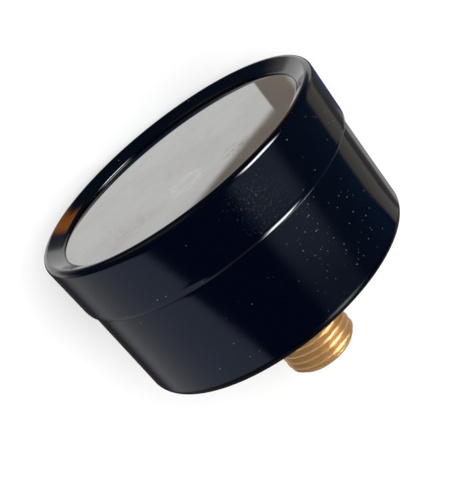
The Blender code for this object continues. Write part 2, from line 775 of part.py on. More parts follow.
def make_plate_screws():
    """Screws from behind, through the back plate into the pillars."""
    shoulder = BACK_PLATE_DEPTH + PLATE_THICKNESS + GAP
    end = BACK_PLATE_DEPTH - 2.4 * MM
    top = shoulder + 0.65 * MM
    slot_half = 0.18 * MM
    for number, place in enumerate(pillar_points(), 1):
        name = "plate_screw_%d" % number
        screw = turned(name, [
            (0.0, end),
            (PLATE_SCREW_SHANK, end),
            (PLATE_SCREW_SHANK, shoulder),
            (PLATE_SCREW_HEAD, shoulder),
            (PLATE_SCREW_HEAD, top - 0.15 * MM),
            (PLATE_SCREW_HEAD - 0.2 * MM, top),
            (0.0, top),
        ], STEEL, steps=16, place=place)
        low = (-2 * MM, -slot_half, top - 0.25 * MM)
        high = (2 * MM, slot_half, top + MM)
        cut(screw, add_cutter(name + " slot", box_mesh(name, low, high), place))


def make_movement_screws():
    """Screws that hold the movement's back plate on the socket."""
    front = MOVEMENT_SCREW_FRONT
    shoulder = BACK_PLATE_DEPTH - GAP
    for number, place in enumerate(MOUNTING_PLACES, 1):
        name = "movement_screw_%d" % number
        screw = turned(name, [
            (0.0, front),
            (MOVEMENT_SCREW_HEAD, front),
            (MOVEMENT_SCREW_HEAD, shoulder),
            (MOVEMENT_SCREW_SHANK, shoulder),
            (MOVEMENT_SCREW_SHANK, MOVEMENT_SCREW_END),
            (0.0, MOVEMENT_SCREW_END),
        ], STEEL, steps=16, place=place)
        cut(screw, slot_cutter(name + " slot", 0.35 * MM, front, 0.25 * MM, 4 * MM, place))


# ---------------------------------------------------------------- hairspring

def make_hairspring():
    """A flat ribbon wound in a spiral, standing on edge."""
    steps = HAIRSPRING_STEPS
    bm = bmesh.new()
    low = []
    high = []
    for i in range(steps + 1):
        part = i / steps
        radius = HAIRSPRING_INNER + (HAIRSPRING_OUTER - HAIRSPRING_INNER) * part
        angle = STUD_DIRECTION - HAIRSPRING_TURNS * math.tau * (1 - part)
        x, y = polar(radius, angle)
        high.append(bm.verts.new((x, y, height(HAIRSPRING_DEPTH))))
        low.append(bm.verts.new((x, y, height(HAIRSPRING_DEPTH + HAIRSPRING_HEIGHT))))
    for i in range(steps):
        bm.faces.new((low[i], low[i + 1], high[i + 1], high[i]))
    mesh = bpy.data.meshes.new("hairspring")
    bm.to_mesh(mesh)
    bm.free()
    spring = add_part("hairspring", mesh, SPRING_BRONZE)
    ribbon = spring.modifiers.new("Thickness", "SOLIDIFY")
    ribbon.thickness = HAIRSPRING_THICKNESS
    ribbon.offset = 0.0


def make_hairspring_collet(axis):
    turned("hairspring_collet", [
        (COLLET_RADIUS, COLLET_FRONT),
        (COLLET_RADIUS, COLLET_BACK),
        (COLLET_BORE, COLLET_BACK),
        (COLLET_BORE, COLLET_FRONT),
    ], YELLOW_BRASS, steps=24, parent=axis)


def make_hairspring_stud():
    turned("hairspring_stud", [
        (0.0, STUD_FRONT),
        (STUD_RADIUS, STUD_FRONT),
        (STUD_RADIUS, STUD_BACK),
        (0.0, STUD_BACK),
    ], YELLOW_BRASS, steps=16, place=polar(STUD_ORBIT, STUD_DIRECTION))


# ---------------------------------------------------------------- link

def sector_tail_place():
    pivot = sector_pivot_place()
    tail = polar(TAIL_LENGTH, TAIL_DIRECTION)
    return (pivot[0] + tail[0], pivot[1] + tail[1])


def relative(point, origin):
    return (point[0] - origin[0], point[1] - origin[1])


def make_link(axis):
    """A flat bar from the tube's tip to the sector's tail. Its far hole is the loose one."""
    tail = sector_tail_place()
    outline = rounded_bar((0.0, 0.0), relative(tail, TIP_PIN), LINK_RADIUS)
    link = flat_part("link", outline, LINK_DEPTH, LINK_THICKNESS, YELLOW_BRASS, axis)
    drill(link, LINK_TIP_HOLE, LINK_DEPTH - MM, LINK_DEPTH + MM, [TIP_PIN], 12)
    drill(link, LINK_TAIL_HOLE, LINK_DEPTH - MM, LINK_DEPTH + MM, [tail], 12)


def make_link_pin(name, axis, back, place=(0.0, 0.0)):
    """A headed pin whose head stands in front of the link."""
    shoulder = LINK_DEPTH - GAP
    turned(name, [
        (0.0, shoulder - PIN_HEAD_HEIGHT),
        (PIN_HEAD_RADIUS, shoulder - PIN_HEAD_HEIGHT),
        (PIN_HEAD_RADIUS, shoulder),
        (PIVOT_RADIUS, shoulder),
        (PIVOT_RADIUS, back),
        (0.0, back),
    ], STEEL, steps=16, parent=axis, place=place)


# ---------------------------------------------------------------- Bourdon tube and tip

def make_bourdon_tube():
    """A hollow tube of flattened oval section, open at both ends, clockwise from root to tip."""
    points = []
    half = TUBE_WIDTH / 2 - TUBE_HEIGHT / 2
    for side, start in ((-1, math.pi * 1.5), (1, math.pi / 2)):
        for i in range(5):
            angle = start - math.pi * i / 4
            along = side * half + TUBE_HEIGHT / 2 * math.cos(angle)
            across = TUBE_HEIGHT / 2 * math.sin(angle)
            points.append((TUBE_RADIUS + across, TUBE_MIDDLE + along))
    tube = add_part("bourdon_tube", profile_mesh("bourdon_tube", points, True), BRONZE)
    tube.rotation_euler = (0.0, 0.0, TUBE_TIP)
    add_screw(tube, TUBE_STEPS, TUBE_ARC)
    wall = tube.modifiers.new("Wall", "SOLIDIFY")
    wall.thickness = TUBE_WALL
    wall.offset = -1.0


def make_tube_tip(axis):
    """The block that closes the tube's end, with a post forward to the link's pin."""
    turn = TUBE_TIP - math.pi / 2
    end = polar(TUBE_RADIUS, TUBE_TIP)
    half = TIP_HALF_WIDTH
    front = TUBE_MIDDLE - TIP_HALF_DEPTH
    back = TUBE_MIDDLE + TIP_HALF_DEPTH

    def tip_box(name, low, high):
        """A box in the tip's directions: along the tube, outwards and depth, from the tube's end."""
        mesh = box_mesh(name, low, high)
        mesh.transform(Matrix.Rotation(turn, 4, "Z"))
        mesh.transform(Matrix.Translation((*end, 0.0)))
        return mesh

    body = tip_box("tube_tip", (-1.5 * MM, -half, front), (3.6 * MM, half, back))
    body.transform(Matrix.Translation((-axis.location.x, -axis.location.y, 0.0)))
    tip = add_part("tube_tip", body, YELLOW_BRASS, axis)
    post = tip_box("tip post", (1.1 * MM, -2.75 * MM, SECTOR_DEPTH), (3.5 * MM, -0.4 * MM, front + MM))
    join(tip, add_cutter("tip post", post))
    fit = 0.25 * MM
    pocket_half = TUBE_HEIGHT / 2 + fit
    pocket_front = TUBE_MIDDLE - TUBE_WIDTH / 2 - fit
    pocket_back = TUBE_MIDDLE + TUBE_WIDTH / 2 + fit
    low = (-3 * MM, -pocket_half, pocket_front)
    high = (0.4 * MM, pocket_half, pocket_back)
    cut(tip, add_cutter("tip pocket", tip_box("tip pocket", low, high)))
    drill(tip, LINK_TIP_HOLE, SECTOR_DEPTH - MM, TIP_PIN_END + GAP, [TIP_PIN], 12)


def tube_bend_centre():
    """The tip turns about the centroid of the tube's arc as the tube unwinds."""
    half = TUBE_ARC / 2
    return polar(TUBE_RADIUS * math.sin(half) / half, TUBE_TIP + half)


# ---------------------------------------------------------------- socket with its thread

def thread_ridge():
    """The helical ridge of the pipe thread, a little longer than the thread at both ends."""
    base_radius = THREAD_MINOR_RADIUS - 0.24 * MM
    start = WRENCH_DEPTH + WRENCH_LENGTH - 0.2 * MM
    turns = (OVERALL_LENGTH + 0.5 * MM - start) / THREAD_PITCH
    root = 0.42                    # half widths of the ridge at its root and crest, in pitches
    crest = 0.10
    section = (
        (base_radius, -root),
        (THREAD_MINOR_RADIUS, -root),
        (THREAD_MAJOR_RADIUS, -crest),
        (THREAD_MAJOR_RADIUS, crest),
        (THREAD_MINOR_RADIUS, root),
        (base_radius, root),
    )
    bm = bmesh.new()
    verts = [bm.verts.new((r, 0.0, height(start + p * THREAD_PITCH))) for r, p in section]
    face = bm.faces.new(verts)
    steps = round(turns * THREAD_STEPS)
    bmesh.ops.spin(bm, geom=[*verts, *face.edges, face], cent=(0, 0, 0), axis=(0, 0, -1),
                   dvec=(0, 0, -THREAD_PITCH / THREAD_STEPS), steps=steps,
                   angle=math.tau * steps / THREAD_STEPS)
    bmesh.ops.holes_fill(bm, edges=[edge for edge in bm.edges if edge.is_boundary])
    bmesh.ops.recalc_face_normals(bm, faces=bm.faces)
    mesh = bpy.data.meshes.new("thread ridge")
    bm.to_mesh(mesh)
    bm.free()
    return add_cutter("thread ridge", mesh)


def wrench_square():
    """A square with its corners turned round."""
    half = WRENCH_FLATS / 2
    back = WRENCH_DEPTH + WRENCH_LENGTH
    square = add_cutter("wrench square", box_mesh(
        "wrench square", (-half, -half, WRENCH_DEPTH), (half, half, back)))
    chamfer = 0.5 * MM
    envelope = turned_cutter("wrench envelope", [
        (0.0, WRENCH_DEPTH - MM),
        (WRENCH_CORNER_RADIUS, WRENCH_DEPTH - MM),
        (WRENCH_CORNER_RADIUS, back - chamfer),
        (WRENCH_CORNER_RADIUS - 2 * chamfer, back + 0.01 * MM),
        (0.0, back + 0.01 * MM),
    ], steps=32)
    boolean(square, envelope, "INTERSECT")
    return square


def box_cutter(name, low, high):
    return add_cutter(name, box_mesh(name, low, high))


def turned_stem(socket):
    """Join the round neck, the wrench square and the threaded stem to the block."""
    root = THREAD_MINOR_RADIUS
    overrun = OVERALL_LENGTH + MM
    join(socket, turned_cutter("stem core", [
        (0.0, BLOCK_BACK - 1.4 * MM),
        (NECK_RADIUS, BLOCK_BACK - 1.4 * MM),
        (NECK_RADIUS, WRENCH_DEPTH + MM),
        (root, WRENCH_DEPTH + MM),
        (root, overrun),
        (0.0, overrun),
    ], steps=THREAD_STEPS))
    join(socket, wrench_square())
    join(socket, thread_ridge())
    groove = WRENCH_DEPTH + WRENCH_LENGTH
    clear = 9.5 * MM
    cut(socket, turned_cutter("thread relief", [
        (clear, groove),
        (clear, groove + 0.7 * MM),
        (THREAD_MAJOR_RADIUS, groove + 0.95 * MM),
        (root - 0.1 * MM, groove + 0.6 * MM),
        (root - 0.1 * MM, groove),
    ], steps=THREAD_STEPS))
    cut(socket, turned_cutter("stem end", [
        (0.0, OVERALL_LENGTH),
        (5.45 * MM, OVERALL_LENGTH),
        (6.9 * MM, OVERALL_LENGTH - MM),
        (clear, OVERALL_LENGTH - MM),
        (clear, overrun + 2 * MM),
        (0.0, overrun + 2 * MM),
    ], steps=THREAD_STEPS))


def drill_socket(socket):
    """Cut the pressure channels and the tapped holes."""
    overrun = OVERALL_LENGTH + MM
    channel_end = TUBE_MIDDLE - 0.9 * MM
    step = 29.5 * MM
    cut(socket, turned_cutter("port bore", [
        (0.0, channel_end),
        (CHANNEL_RADIUS, channel_end),
        (CHANNEL_RADIUS, step),
        (BORE_RADIUS, step + 1.5 * MM),
        (BORE_RADIUS, overrun),
        (0.0, overrun),
    ], steps=24))
    root = (3.0 * MM, -TUBE_RADIUS, TUBE_MIDDLE)
    drill_between(socket, root, (0.0, 0.0, TUBE_MIDDLE), CROSS_CHANNEL_RADIUS)
    drill(socket, MOVEMENT_SCREW_HOLE, BLOCK_FRONT - 1.5 * MM, 18 * MM, MOUNTING_PLACES, 12)
    drill(socket, CASE_SCREW_TAPPING, CASE_SCREW_FRONT - GAP, 28 * MM, CASE_SCREW_PLACES, 16)


def make_socket():
    """The brass block that carries the tube and the movement, with the threaded stem.

    The tube's root is brazed in a pocket at the bottom, joined to the bore by a slanted channel.
    The corner left of the root is open, so that the tube can leave the block.
    A step across the block clears the head of the movement's lowest plate screw.
    """
    half = BLOCK_HALF_WIDTH
    low = (-half, BLOCK_BOTTOM, BLOCK_FRONT)
    high = (half, BLOCK_TOP, BAR_FRONT + 0.5 * MM)
    socket = add_part("socket", box_mesh("socket", low, high), BRASS)
    low = (-half, BLOCK_BOTTOM, BAR_FRONT)
    join(socket, box_cutter("socket bar", low, (half, BAR_TOP, BLOCK_BACK)))
    turned_stem(socket)
    side = -6 * MM
    low = (side, -19.7 * MM, 16.2 * MM)
    cut(socket, box_cutter("tube pocket", low, (2.4 * MM, -16.3 * MM, 22.8 * MM)))
    low = (2.2 * MM, -18.8 * MM, 18.7 * MM)
    cut(socket, box_cutter("root recess", low, (3.4 * MM, -17.2 * MM, 20.3 * MM)))
    low = (side, BLOCK_BOTTOM - 1.5 * MM, BLOCK_FRONT - 1.5 * MM)
    cut(socket, box_cutter("root corner", low, (-1.5 * MM, -15.2 * MM, 23.0 * MM)))
    low = (side, -15.6 * MM, BLOCK_FRONT - 1.5 * MM)
    cut(socket, box_cutter("screw step", low, (-side, -11.3 * MM, BLOCK_FRONT + MM)))
    drill_socket(socket)


def make_case_screws():
    """Domed screws through the back of the case into the socket."""
    shoulder = CASE_BACK_DEPTH + GAP
    for number, place in enumerate(CASE_SCREW_PLACES, 1):
        name = "case_screw_%d" % number
        screw = turned(name, [
            (0.0, CASE_SCREW_FRONT),
            (CASE_SCREW_SHANK, CASE_SCREW_FRONT),
            (CASE_SCREW_SHANK, shoulder),
            (CASE_SCREW_HEAD, shoulder),
            (CASE_SCREW_HEAD, shoulder + 0.5 * MM),
            (CASE_SCREW_HEAD - 0.4 * MM, shoulder + 1.0 * MM),
            (CASE_SCREW_HEAD / 2, shoulder + 1.3 * MM),
            (0.0, shoulder + 1.4 * MM),
        ], STEEL, steps=20, place=place)
        low = (-3 * MM, -0.3 * MM, shoulder + 0.7 * MM)
        high = (3 * MM, 0.3 * MM, shoulder + 2 * MM)
        cut(screw, add_cutter(name + " slot", box_mesh(name, low, high), place))


# ---------------------------------------------------------------- assembly

def make_fixed_parts():
    make_bezel()
    make_case()
    make_window()
    make_window_gasket()
    make_dial_plate()
    make_dial_screws()
    make_stop_pin()
    make_front_plate()
    make_back_plate()
    make_pillars()
    make_plate_screws()
    make_movement_screws()
    make_hairspring()
    make_hairspring_stud()
    make_bourdon_tube()
    make_socket()
    make_case_screws()


def make_moving_parts():
    pointer_axis = add_empty("pointer axis", (0.0, 0.0), GAUGE)
    make_pointer(pointer_axis)
    make_pointer_hub(pointer_axis)
    make_pinion_arbor(pointer_axis)
    make_hairspring_collet(pointer_axis)

    sector_axis = add_empty("sector axis", sector_pivot_place(), GAUGE)
    make_sector_gear(sector_axis)
    make_sector_arbor(sector_axis)
    tail = relative(sector_tail_place(), sector_pivot_place())
    make_link_pin("link_pin_sector", sector_axis, SECTOR_DEPTH + SECTOR_THICKNESS + 0.2 * MM, tail)

    centre = tube_bend_centre()
    tip_axis = add_empty("tube tip axis", centre, GAUGE)
    make_tube_tip(tip_axis)
    tip_pin = relative(TIP_PIN, centre)
    make_link_pin("link_pin_tip", tip_axis, TIP_PIN_END, tip_pin)
    link_axis = add_empty("link axis", tip_pin, tip_axis)
    make_link(link_axis)


def finish_parts():
    """Apply each part's modifiers, and shade its round faces smooth between its sharp edges."""
    bpy.context.view_layer.update()
    graph = bpy.context.evaluated_depsgraph_get()
    parts = [obj for obj in PARTS.objects if obj.type == "MESH"]
    meshes = [bpy.data.meshes.new_from_object(obj.evaluated_get(graph)) for obj in parts]
    for obj, mesh in zip(parts, meshes):
        mesh.shade_smooth()
        mesh.set_sharp_from_angle(angle=SMOOTH_ANGLE)
        obj.modifiers.clear()
        obj.data = mesh
    bpy.context.view_layer.update()


clear_scene()
PARTS = new_collection("pressure_gauge")
CUTTERS = new_collection("cutters")
GAUGE = bpy.data.objects.new("gauge axis", None)
PARTS.objects.link(GAUGE)
GAUGE.rotation_euler = (math.pi / 2, 0.0, 0.0)
make_fixed_parts()
make_moving_parts()
finish_parts()
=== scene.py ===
"""Looks for the back-connection pressure gauge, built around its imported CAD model.

The gauge's axis is world Y. Depths are measured backwards from the crest of the bezel, and a place on
the dial is an (x, z) pair.
"""

import json
import math

import bmesh
import bpy
from mathutils import Matrix, Vector


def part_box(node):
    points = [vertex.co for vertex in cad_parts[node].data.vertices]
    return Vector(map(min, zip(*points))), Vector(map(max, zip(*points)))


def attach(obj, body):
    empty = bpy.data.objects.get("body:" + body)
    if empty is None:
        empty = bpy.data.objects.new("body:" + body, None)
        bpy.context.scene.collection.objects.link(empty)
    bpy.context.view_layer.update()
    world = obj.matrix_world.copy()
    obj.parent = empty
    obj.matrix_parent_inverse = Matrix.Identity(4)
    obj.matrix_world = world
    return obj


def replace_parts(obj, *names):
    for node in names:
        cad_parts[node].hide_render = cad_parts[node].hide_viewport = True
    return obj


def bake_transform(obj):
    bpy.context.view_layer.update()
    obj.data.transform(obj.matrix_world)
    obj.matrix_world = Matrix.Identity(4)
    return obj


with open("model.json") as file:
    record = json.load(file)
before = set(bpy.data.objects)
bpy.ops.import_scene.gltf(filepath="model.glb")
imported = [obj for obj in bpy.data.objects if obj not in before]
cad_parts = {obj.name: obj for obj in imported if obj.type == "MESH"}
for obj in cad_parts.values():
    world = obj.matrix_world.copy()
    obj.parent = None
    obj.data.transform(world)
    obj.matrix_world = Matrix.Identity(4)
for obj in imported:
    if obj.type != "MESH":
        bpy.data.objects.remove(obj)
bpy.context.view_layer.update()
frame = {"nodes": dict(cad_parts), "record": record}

MM = 0.001

# -------------------- sizes taken from the frame

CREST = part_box("bezel")[0].y


def turned_size(node):
    """Radius, front and back of a node that is turned about the gauge's axis."""
    low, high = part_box(node)
    return high.x, low.y - CREST, high.y - CREST


BEZEL_RADIUS, _, BEZEL_DEPTH = turned_size("bezel")
CASE_RADIUS, CASE_FRONT, CASE_BACK = turned_size("case")
WINDOW_RADIUS, WINDOW_FRONT, WINDOW_BACK = turned_size("window")
DIAL_RADIUS, DIAL_FRONT, DIAL_BACK = turned_size("dial_plate")
SOCKET_LOW, SOCKET_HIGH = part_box("socket")
STEM_END = SOCKET_HIGH.y - CREST

SLOT_OF_NODE = {entry["node"]: entry["material_slot"] for entry in frame["record"]["subparts"]}

SHELL_ROUND = 240  # facets of the bezel and the case
ROUND = 180  # facets of the other large turned pieces
SMALL_ROUND = 64  # facets of a small turned piece
HOLE_ROUND = 32  # facets of a drilled hole
CUT = 1.0 * MM  # how far a drill reaches past its piece
SHARP = math.radians(32)  # edges sharper than this aren't shaded round


# -------------------- mesh helpers

def spot(x, z, depth):
    """A point of the gauge from its place on the dial and its depth behind the crest."""
    return Vector((x, CREST + depth, z))


def polar(radius, angle):
    """The place at a distance from the axis, in the direction of an angle."""
    return (radius * math.cos(angle), radius * math.sin(angle))


def parts(steps):
    """Evenly spaced numbers from 0 to 1."""
    return [i / steps for i in range(steps + 1)]


def node_centre(node):
    low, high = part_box(node)
    return ((low.x + high.x) / 2, (low.z + high.z) / 2)


def shade(mesh, sharp=SHARP):
    mesh.shade_smooth()
    mesh.set_sharp_from_angle(angle=sharp)


def add_object(name, data):
    made = bpy.data.objects.new(name, data)
    bpy.context.scene.collection.objects.link(made)
    return made


def mesh_object(bm, name):
    """A new object from a bmesh, which is used up."""
    bmesh.ops.recalc_face_normals(bm, faces=bm.faces)
    mesh = bpy.data.meshes.new(name)
    bm.to_mesh(mesh)
    bm.free()
    return add_object(name, mesh)


def finish_mesh(bm, name, look, body="housing"):
    """Turn a bmesh into a piece that rides on a body, or on none yet."""
    piece = mesh_object(bm, name)
    shade(piece.data)
    piece.data.materials.append(LOOKS[look])
    if body:
        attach(piece, body)
    return piece


def lathe(bm, profile, steps=ROUND, place=(0.0, 0.0), shift=None):
    """Revolve (radius, depth) pairs about an axis along Y. Pairs on the axis make the ends solid.

    shift(angle, radius, depth) may return another radius, as the stem's thread does.
    """
    rings = []
    for radius, depth in profile:
        if radius <= 0.0:
            rings.append([bm.verts.new(spot(*place, depth))])
            continue
        ring = []
        for i in range(steps):
            angle = math.tau * i / steps
            x, z = polar(shift(angle, radius, depth) if shift else radius, angle)
            ring.append(bm.verts.new(spot(place[0] + x, place[1] + z, depth)))
        rings.append(ring)
    if profile[0][0] > 0.0:
        rings.append(rings[0])
    for first, second in zip(rings, rings[1:]):
        for i in range(steps):
            j = (i + 1) % steps
            corners = [first[i % len(first)], first[j % len(first)],
                       second[j % len(second)], second[i % len(second)]]
            unique = list(dict.fromkeys(corners))
            if len(unique) > 2:
                bm.faces.new(unique)


def turned_piece(name, profile, look, body="housing", steps=ROUND, place=(0.0, 0.0)):
    bm = bmesh.new()
    lathe(bm, profile, steps, place)
    return finish_mesh(bm, name, look, body)


def arc(middle_radius, middle_depth, size, start, end, steps):
    """Profile points on an arc. Angle 0 points outwards and 90 degrees points to the back."""
    points = []
    for t in parts(steps):
        out, back = polar(size, math.radians(start + (end - start) * t))
        points.append((middle_radius + out, middle_depth + back))
    return points


def straight(start, end):
    """Profile points of a long straight run, close together at its ends so it shades flat."""
    return [(start[0] + (end[0] - start[0]) * t, start[1] + (end[1] - start[1]) * t)
            for t in (0.0, 0.04, 0.12, 0.5, 0.88, 0.96, 1.0)]


def rounding(start, corner, end, steps):
    """Profile points of a smooth turn from start to end, drawn towards the corner."""
    points = []
    for t in parts(steps):
        point = Vector(start) * (1 - t) ** 2 + Vector(corner) * 2 * t * (1 - t) + Vector(end) * t ** 2
        points.append((point.x, point.y))
    return points


def soften(profile, size, steps=2):
    """Round every inner corner of an open profile by about the given size."""
    most = 0.45  # the largest part of a side that one rounding takes
    points = [profile[0]]
    for before, here, after in zip(profile, profile[1:], profile[2:]):
        a = Vector(before) - Vector(here)
        b = Vector(after) - Vector(here)
        reach = min(size, a.length * most, b.length * most)
        points += rounding(Vector(here) + a.normalized() * reach, here,
                           Vector(here) + b.normalized() * reach, steps)
    points.append(profile[-1])
    return points


def soften_ring(profile, size):
    """Round every corner of a closed profile."""
    return soften([profile[-1]] + profile + [profile[0]], size)[1:-1]


def skin(bm, rings):
    """Join matching closed rings of vertices, one after the other."""
    for first, second in zip(rings, rings[1:]):
        for i in range(len(first)):
            j = (i + 1) % len(first)
            bm.faces.new((first[i], first[j], second[j], second[i]))


def prism(bm, outline, front, back):
    """A flat solid with the given outline, between two depths."""
    near = [bm.verts.new(spot(x, z, front)) for x, z in outline]
    far = [bm.verts.new(spot(x, z, back)) for x, z in outline]
    bm.faces.new(near)
    bm.faces.new(list(reversed(far)))
    skin(bm, [far, near])


def turned_helper(profile, steps=HOLE_ROUND, place=(0.0, 0.0), shift=None):
    """A helper is a solid that cuts or joins a piece, and is removed when it has done so."""
    bm = bmesh.new()
    lathe(bm, profile, steps, place, shift)
    return mesh_object(bm, "helper")


def cylinder(radius, front, back, place=(0.0, 0.0), steps=HOLE_ROUND):
    """A round helper between two depths."""
    return turned_helper([(0.0, front), (radius, front), (radius, back), (0.0, back)], steps, place)


def box_mesh(low, high):
    """A box between two (x, z, depth) corners, as a bmesh."""
    bm = bmesh.new()
    prism(bm, [(low[0], low[1]), (high[0], low[1]), (high[0], high[1]), (low[0], high[1])],
          low[2], high[2])
    return bm


def block(low, high):
    """A box as a helper."""
    return mesh_object(box_mesh(low, high), "helper")


def evaluated_mesh(made):
    """A new mesh of an object, as its modifiers or its text shape it."""
    bpy.context.view_layer.update()
    evaluated = made.evaluated_get(bpy.context.evaluated_depsgraph_get())
    return bpy.data.meshes.new_from_object(evaluated)


def apply_modifiers(piece):
    """Make a piece's modifiers part of its mesh."""
    mesh = evaluated_mesh(piece)
    piece.modifiers.clear()
    piece.data = mesh


def combine(piece, helper, operation="DIFFERENCE"):
    """Apply one exact Boolean to a piece and remove its helper."""
    modifier = piece.modifiers.new("Combine", "BOOLEAN")
    modifier.operation = operation
    modifier.object = helper
    modifier.solver = "EXACT"
    apply_modifiers(piece)
    bpy.data.objects.remove(helper)


def bevel(piece, width):
    """Small rounded edges, applied to the mesh."""
    modifier = piece.modifiers.new("Bevel", "BEVEL")
    modifier.width = width
    modifier.segments = 2
    modifier.limit_method = "ANGLE"
    modifier.angle_limit = math.radians(35)
    apply_modifiers(piece)
    shade(piece.data, math.radians(50))


# -------------------- material helpers

class Graph:
    """A node tree under construction."""

    def __init__(self, tree):
        self.nodes = tree.nodes
        self.links = tree.links

    def add(self, kind, inputs=None, **settings):
        """A new node. Its inputs are given by name or number."""
        node = self.nodes.new(kind)
        for key, value in settings.items():
            setattr(node, key, value)
        for key, value in (inputs or {}).items():
            self.feed(node.inputs[key], value)
        return node

    def feed(self, target, value):
        """Give an input a constant or a link."""
        if isinstance(value, bpy.types.NodeSocket):
            self.links.new(value, target)
        elif isinstance(value, tuple) and len(value) == 3 and target.type == "RGBA":
            target.default_value = (*value, 1.0)
        else:
            target.default_value = value

    def math(self, operation, first, second):
        return self.add("ShaderNodeMath", {0: first, 1: second}, operation=operation).outputs[0]

    def times(self, first, *others):
        """The product of several numbers, or the overlap of several masks."""
        for other in others:
            first = self.math("MULTIPLY", first, other)
        return first

    def ramp(self, value, low, high, start=0.0, end=1.0, smooth=True):
        """Map low..high to start..end."""
        inputs = {"Value": value, "From Min": low, "From Max": high, "To Min": start, "To Max": end}
        curve = "SMOOTHSTEP" if smooth else "LINEAR"
        return self.add("ShaderNodeMapRange", inputs, interpolation_type=curve).outputs["Result"]

    def mix(self, factor, first, second):
        """Blend two colours. Inputs 6 and 7 and output 2 are the node's colour sockets."""
        return self.add("ShaderNodeMix", {0: factor, 6: first, 7: second}, data_type="RGBA").outputs[2]

    def dot(self, first, second):
        node = self.add("ShaderNodeVectorMath", {0: first, 1: second}, operation="DOT_PRODUCT")
        return node.outputs["Value"]

    def components(self, vector):
        """The x, y and z of a vector."""
        return self.add("ShaderNodeSeparateXYZ", {0: vector}).outputs


class Look(Graph):
    """A node material under construction."""

    INPUTS = {"color": "Base Color", "roughness": "Roughness", "metallic": "Metallic", "ior": "IOR",
              "alpha": "Alpha", "normal": "Normal", "specular": "Specular IOR Level"}

    def __init__(self, name):
        self.material = bpy.data.materials.new(name)
        self.material.use_nodes = True
        super().__init__(self.material.node_tree)
        self.shader = self.nodes["Principled BSDF"]
        self.position = self.add("ShaderNodeNewGeometry").outputs["Position"]

    def finish(self, **inputs):
        """Feed the shader and hand over the material."""
        for key, value in inputs.items():
            self.feed(self.shader.inputs[self.INPUTS[key]], value)
        return self.material

    def stretched(self, factors):
        """Position with its own factor along each axis. A small factor draws patterns out that way."""
        node = self.add("ShaderNodeVectorMath", {0: self.position, 1: factors}, operation="MULTIPLY")
        return node.outputs[0]

    def noise(self, scale, detail=2.0, roughness=0.5, vector=None):
        inputs = {"Vector": vector or self.position, "Scale": scale, "Detail": detail,
                  "Roughness": roughness}
        return self.add("ShaderNodeTexNoise", inputs).outputs["Fac"]

    def around(self, place, inner, outer):
        """1 near an (x, z, depth) place of the gauge, falling to 0 at the outer distance."""
        node = self.add("ShaderNodeVectorMath", {0: self.position, 1: spot(*place)}, operation="DISTANCE")
        return self.ramp(node.outputs["Value"], inner, outer, 1.0, 0.0)

    def specks(self, scale, share, small, large):
        """Scattered dots. The share says how many of the cells hold one, sizes are parts of a cell."""
        cells = self.add("ShaderNodeTexVoronoi", {"Vector": self.position, "Scale": scale}).outputs
        chance = self.add("ShaderNodeSeparateColor", {0: cells["Color"]}).outputs
        held = self.math("LESS_THAN", chance["Red"], share)
        size = self.ramp(chance["Green"], 0.0, 1.0, small, large, smooth=False)
        return self.times(held, self.math("LESS_THAN", cells["Distance"], size))

    def bump(self, height, distance, normal=None):
        inputs = {"Height": height, "Distance": distance}
        if normal:
            inputs["Normal"] = normal
        return self.add("ShaderNodeBump", inputs).outputs["Normal"]

    def edges(self, radius):
        """1 along convex and concave edges, 0 on flat areas."""
        rounded = self.add("ShaderNodeBevel", {"Radius": radius}, samples=6).outputs["Normal"]
        plain = self.add("ShaderNodeNewGeometry").outputs["Normal"]
        return self.ramp(self.dot(rounded, plain), 0.995, 0.90)


# -------------------- materials

DUSTY_PLACE = (-12.5 * MM, 22.5 * MM, 19.5 * MM)  # on the case's side
# The grainy patch lies beside the rim and rear-edge highlights; its golden specks are partly painted glow of
# them.
GRAIN_GLOW_PLACE = (-5.7 * MM, 25.8 * MM, 5.2 * MM)  # on the bezel's side
RING_PLACE = (0.4 * MM, 9.4 * MM, WINDOW_FRONT)
SMUDGE_PLACE = (11.8 * MM, 10.6 * MM, WINDOW_FRONT)
GRIME_PLACE = (-8.8 * MM, 11.4 * MM, WINDOW_FRONT)
DULL_FROM = 26.5 * MM  # the depth where the case's back begins to be duller than its side
DULL_TO = 27.0 * MM


def enamel_dirt(look):
    """Masks of the dust, thickest around one place of the case, and of the bezel's grainy patch beside the
    highlights, which is partly real grain and partly painted glow of those highlights.
    """
    dusty = look.ramp(look.around(DUSTY_PLACE, 4.0 * MM, 13.0 * MM), 0.0, 1.0, 0.022, 0.15)
    drift = look.ramp(look.noise(85.0, 2.0, 0.6), 0.42, 0.68, 0.25, 1.6)
    dust = look.specks(3100.0, look.times(dusty, drift), 0.08, 0.25)
    grain_glow_near = look.around(GRAIN_GLOW_PLACE, 0.5 * MM, 6.2 * MM)
    grain = look.specks(6500.0, look.times(grain_glow_near, 0.55), 0.10, 0.34)
    return dust, grain


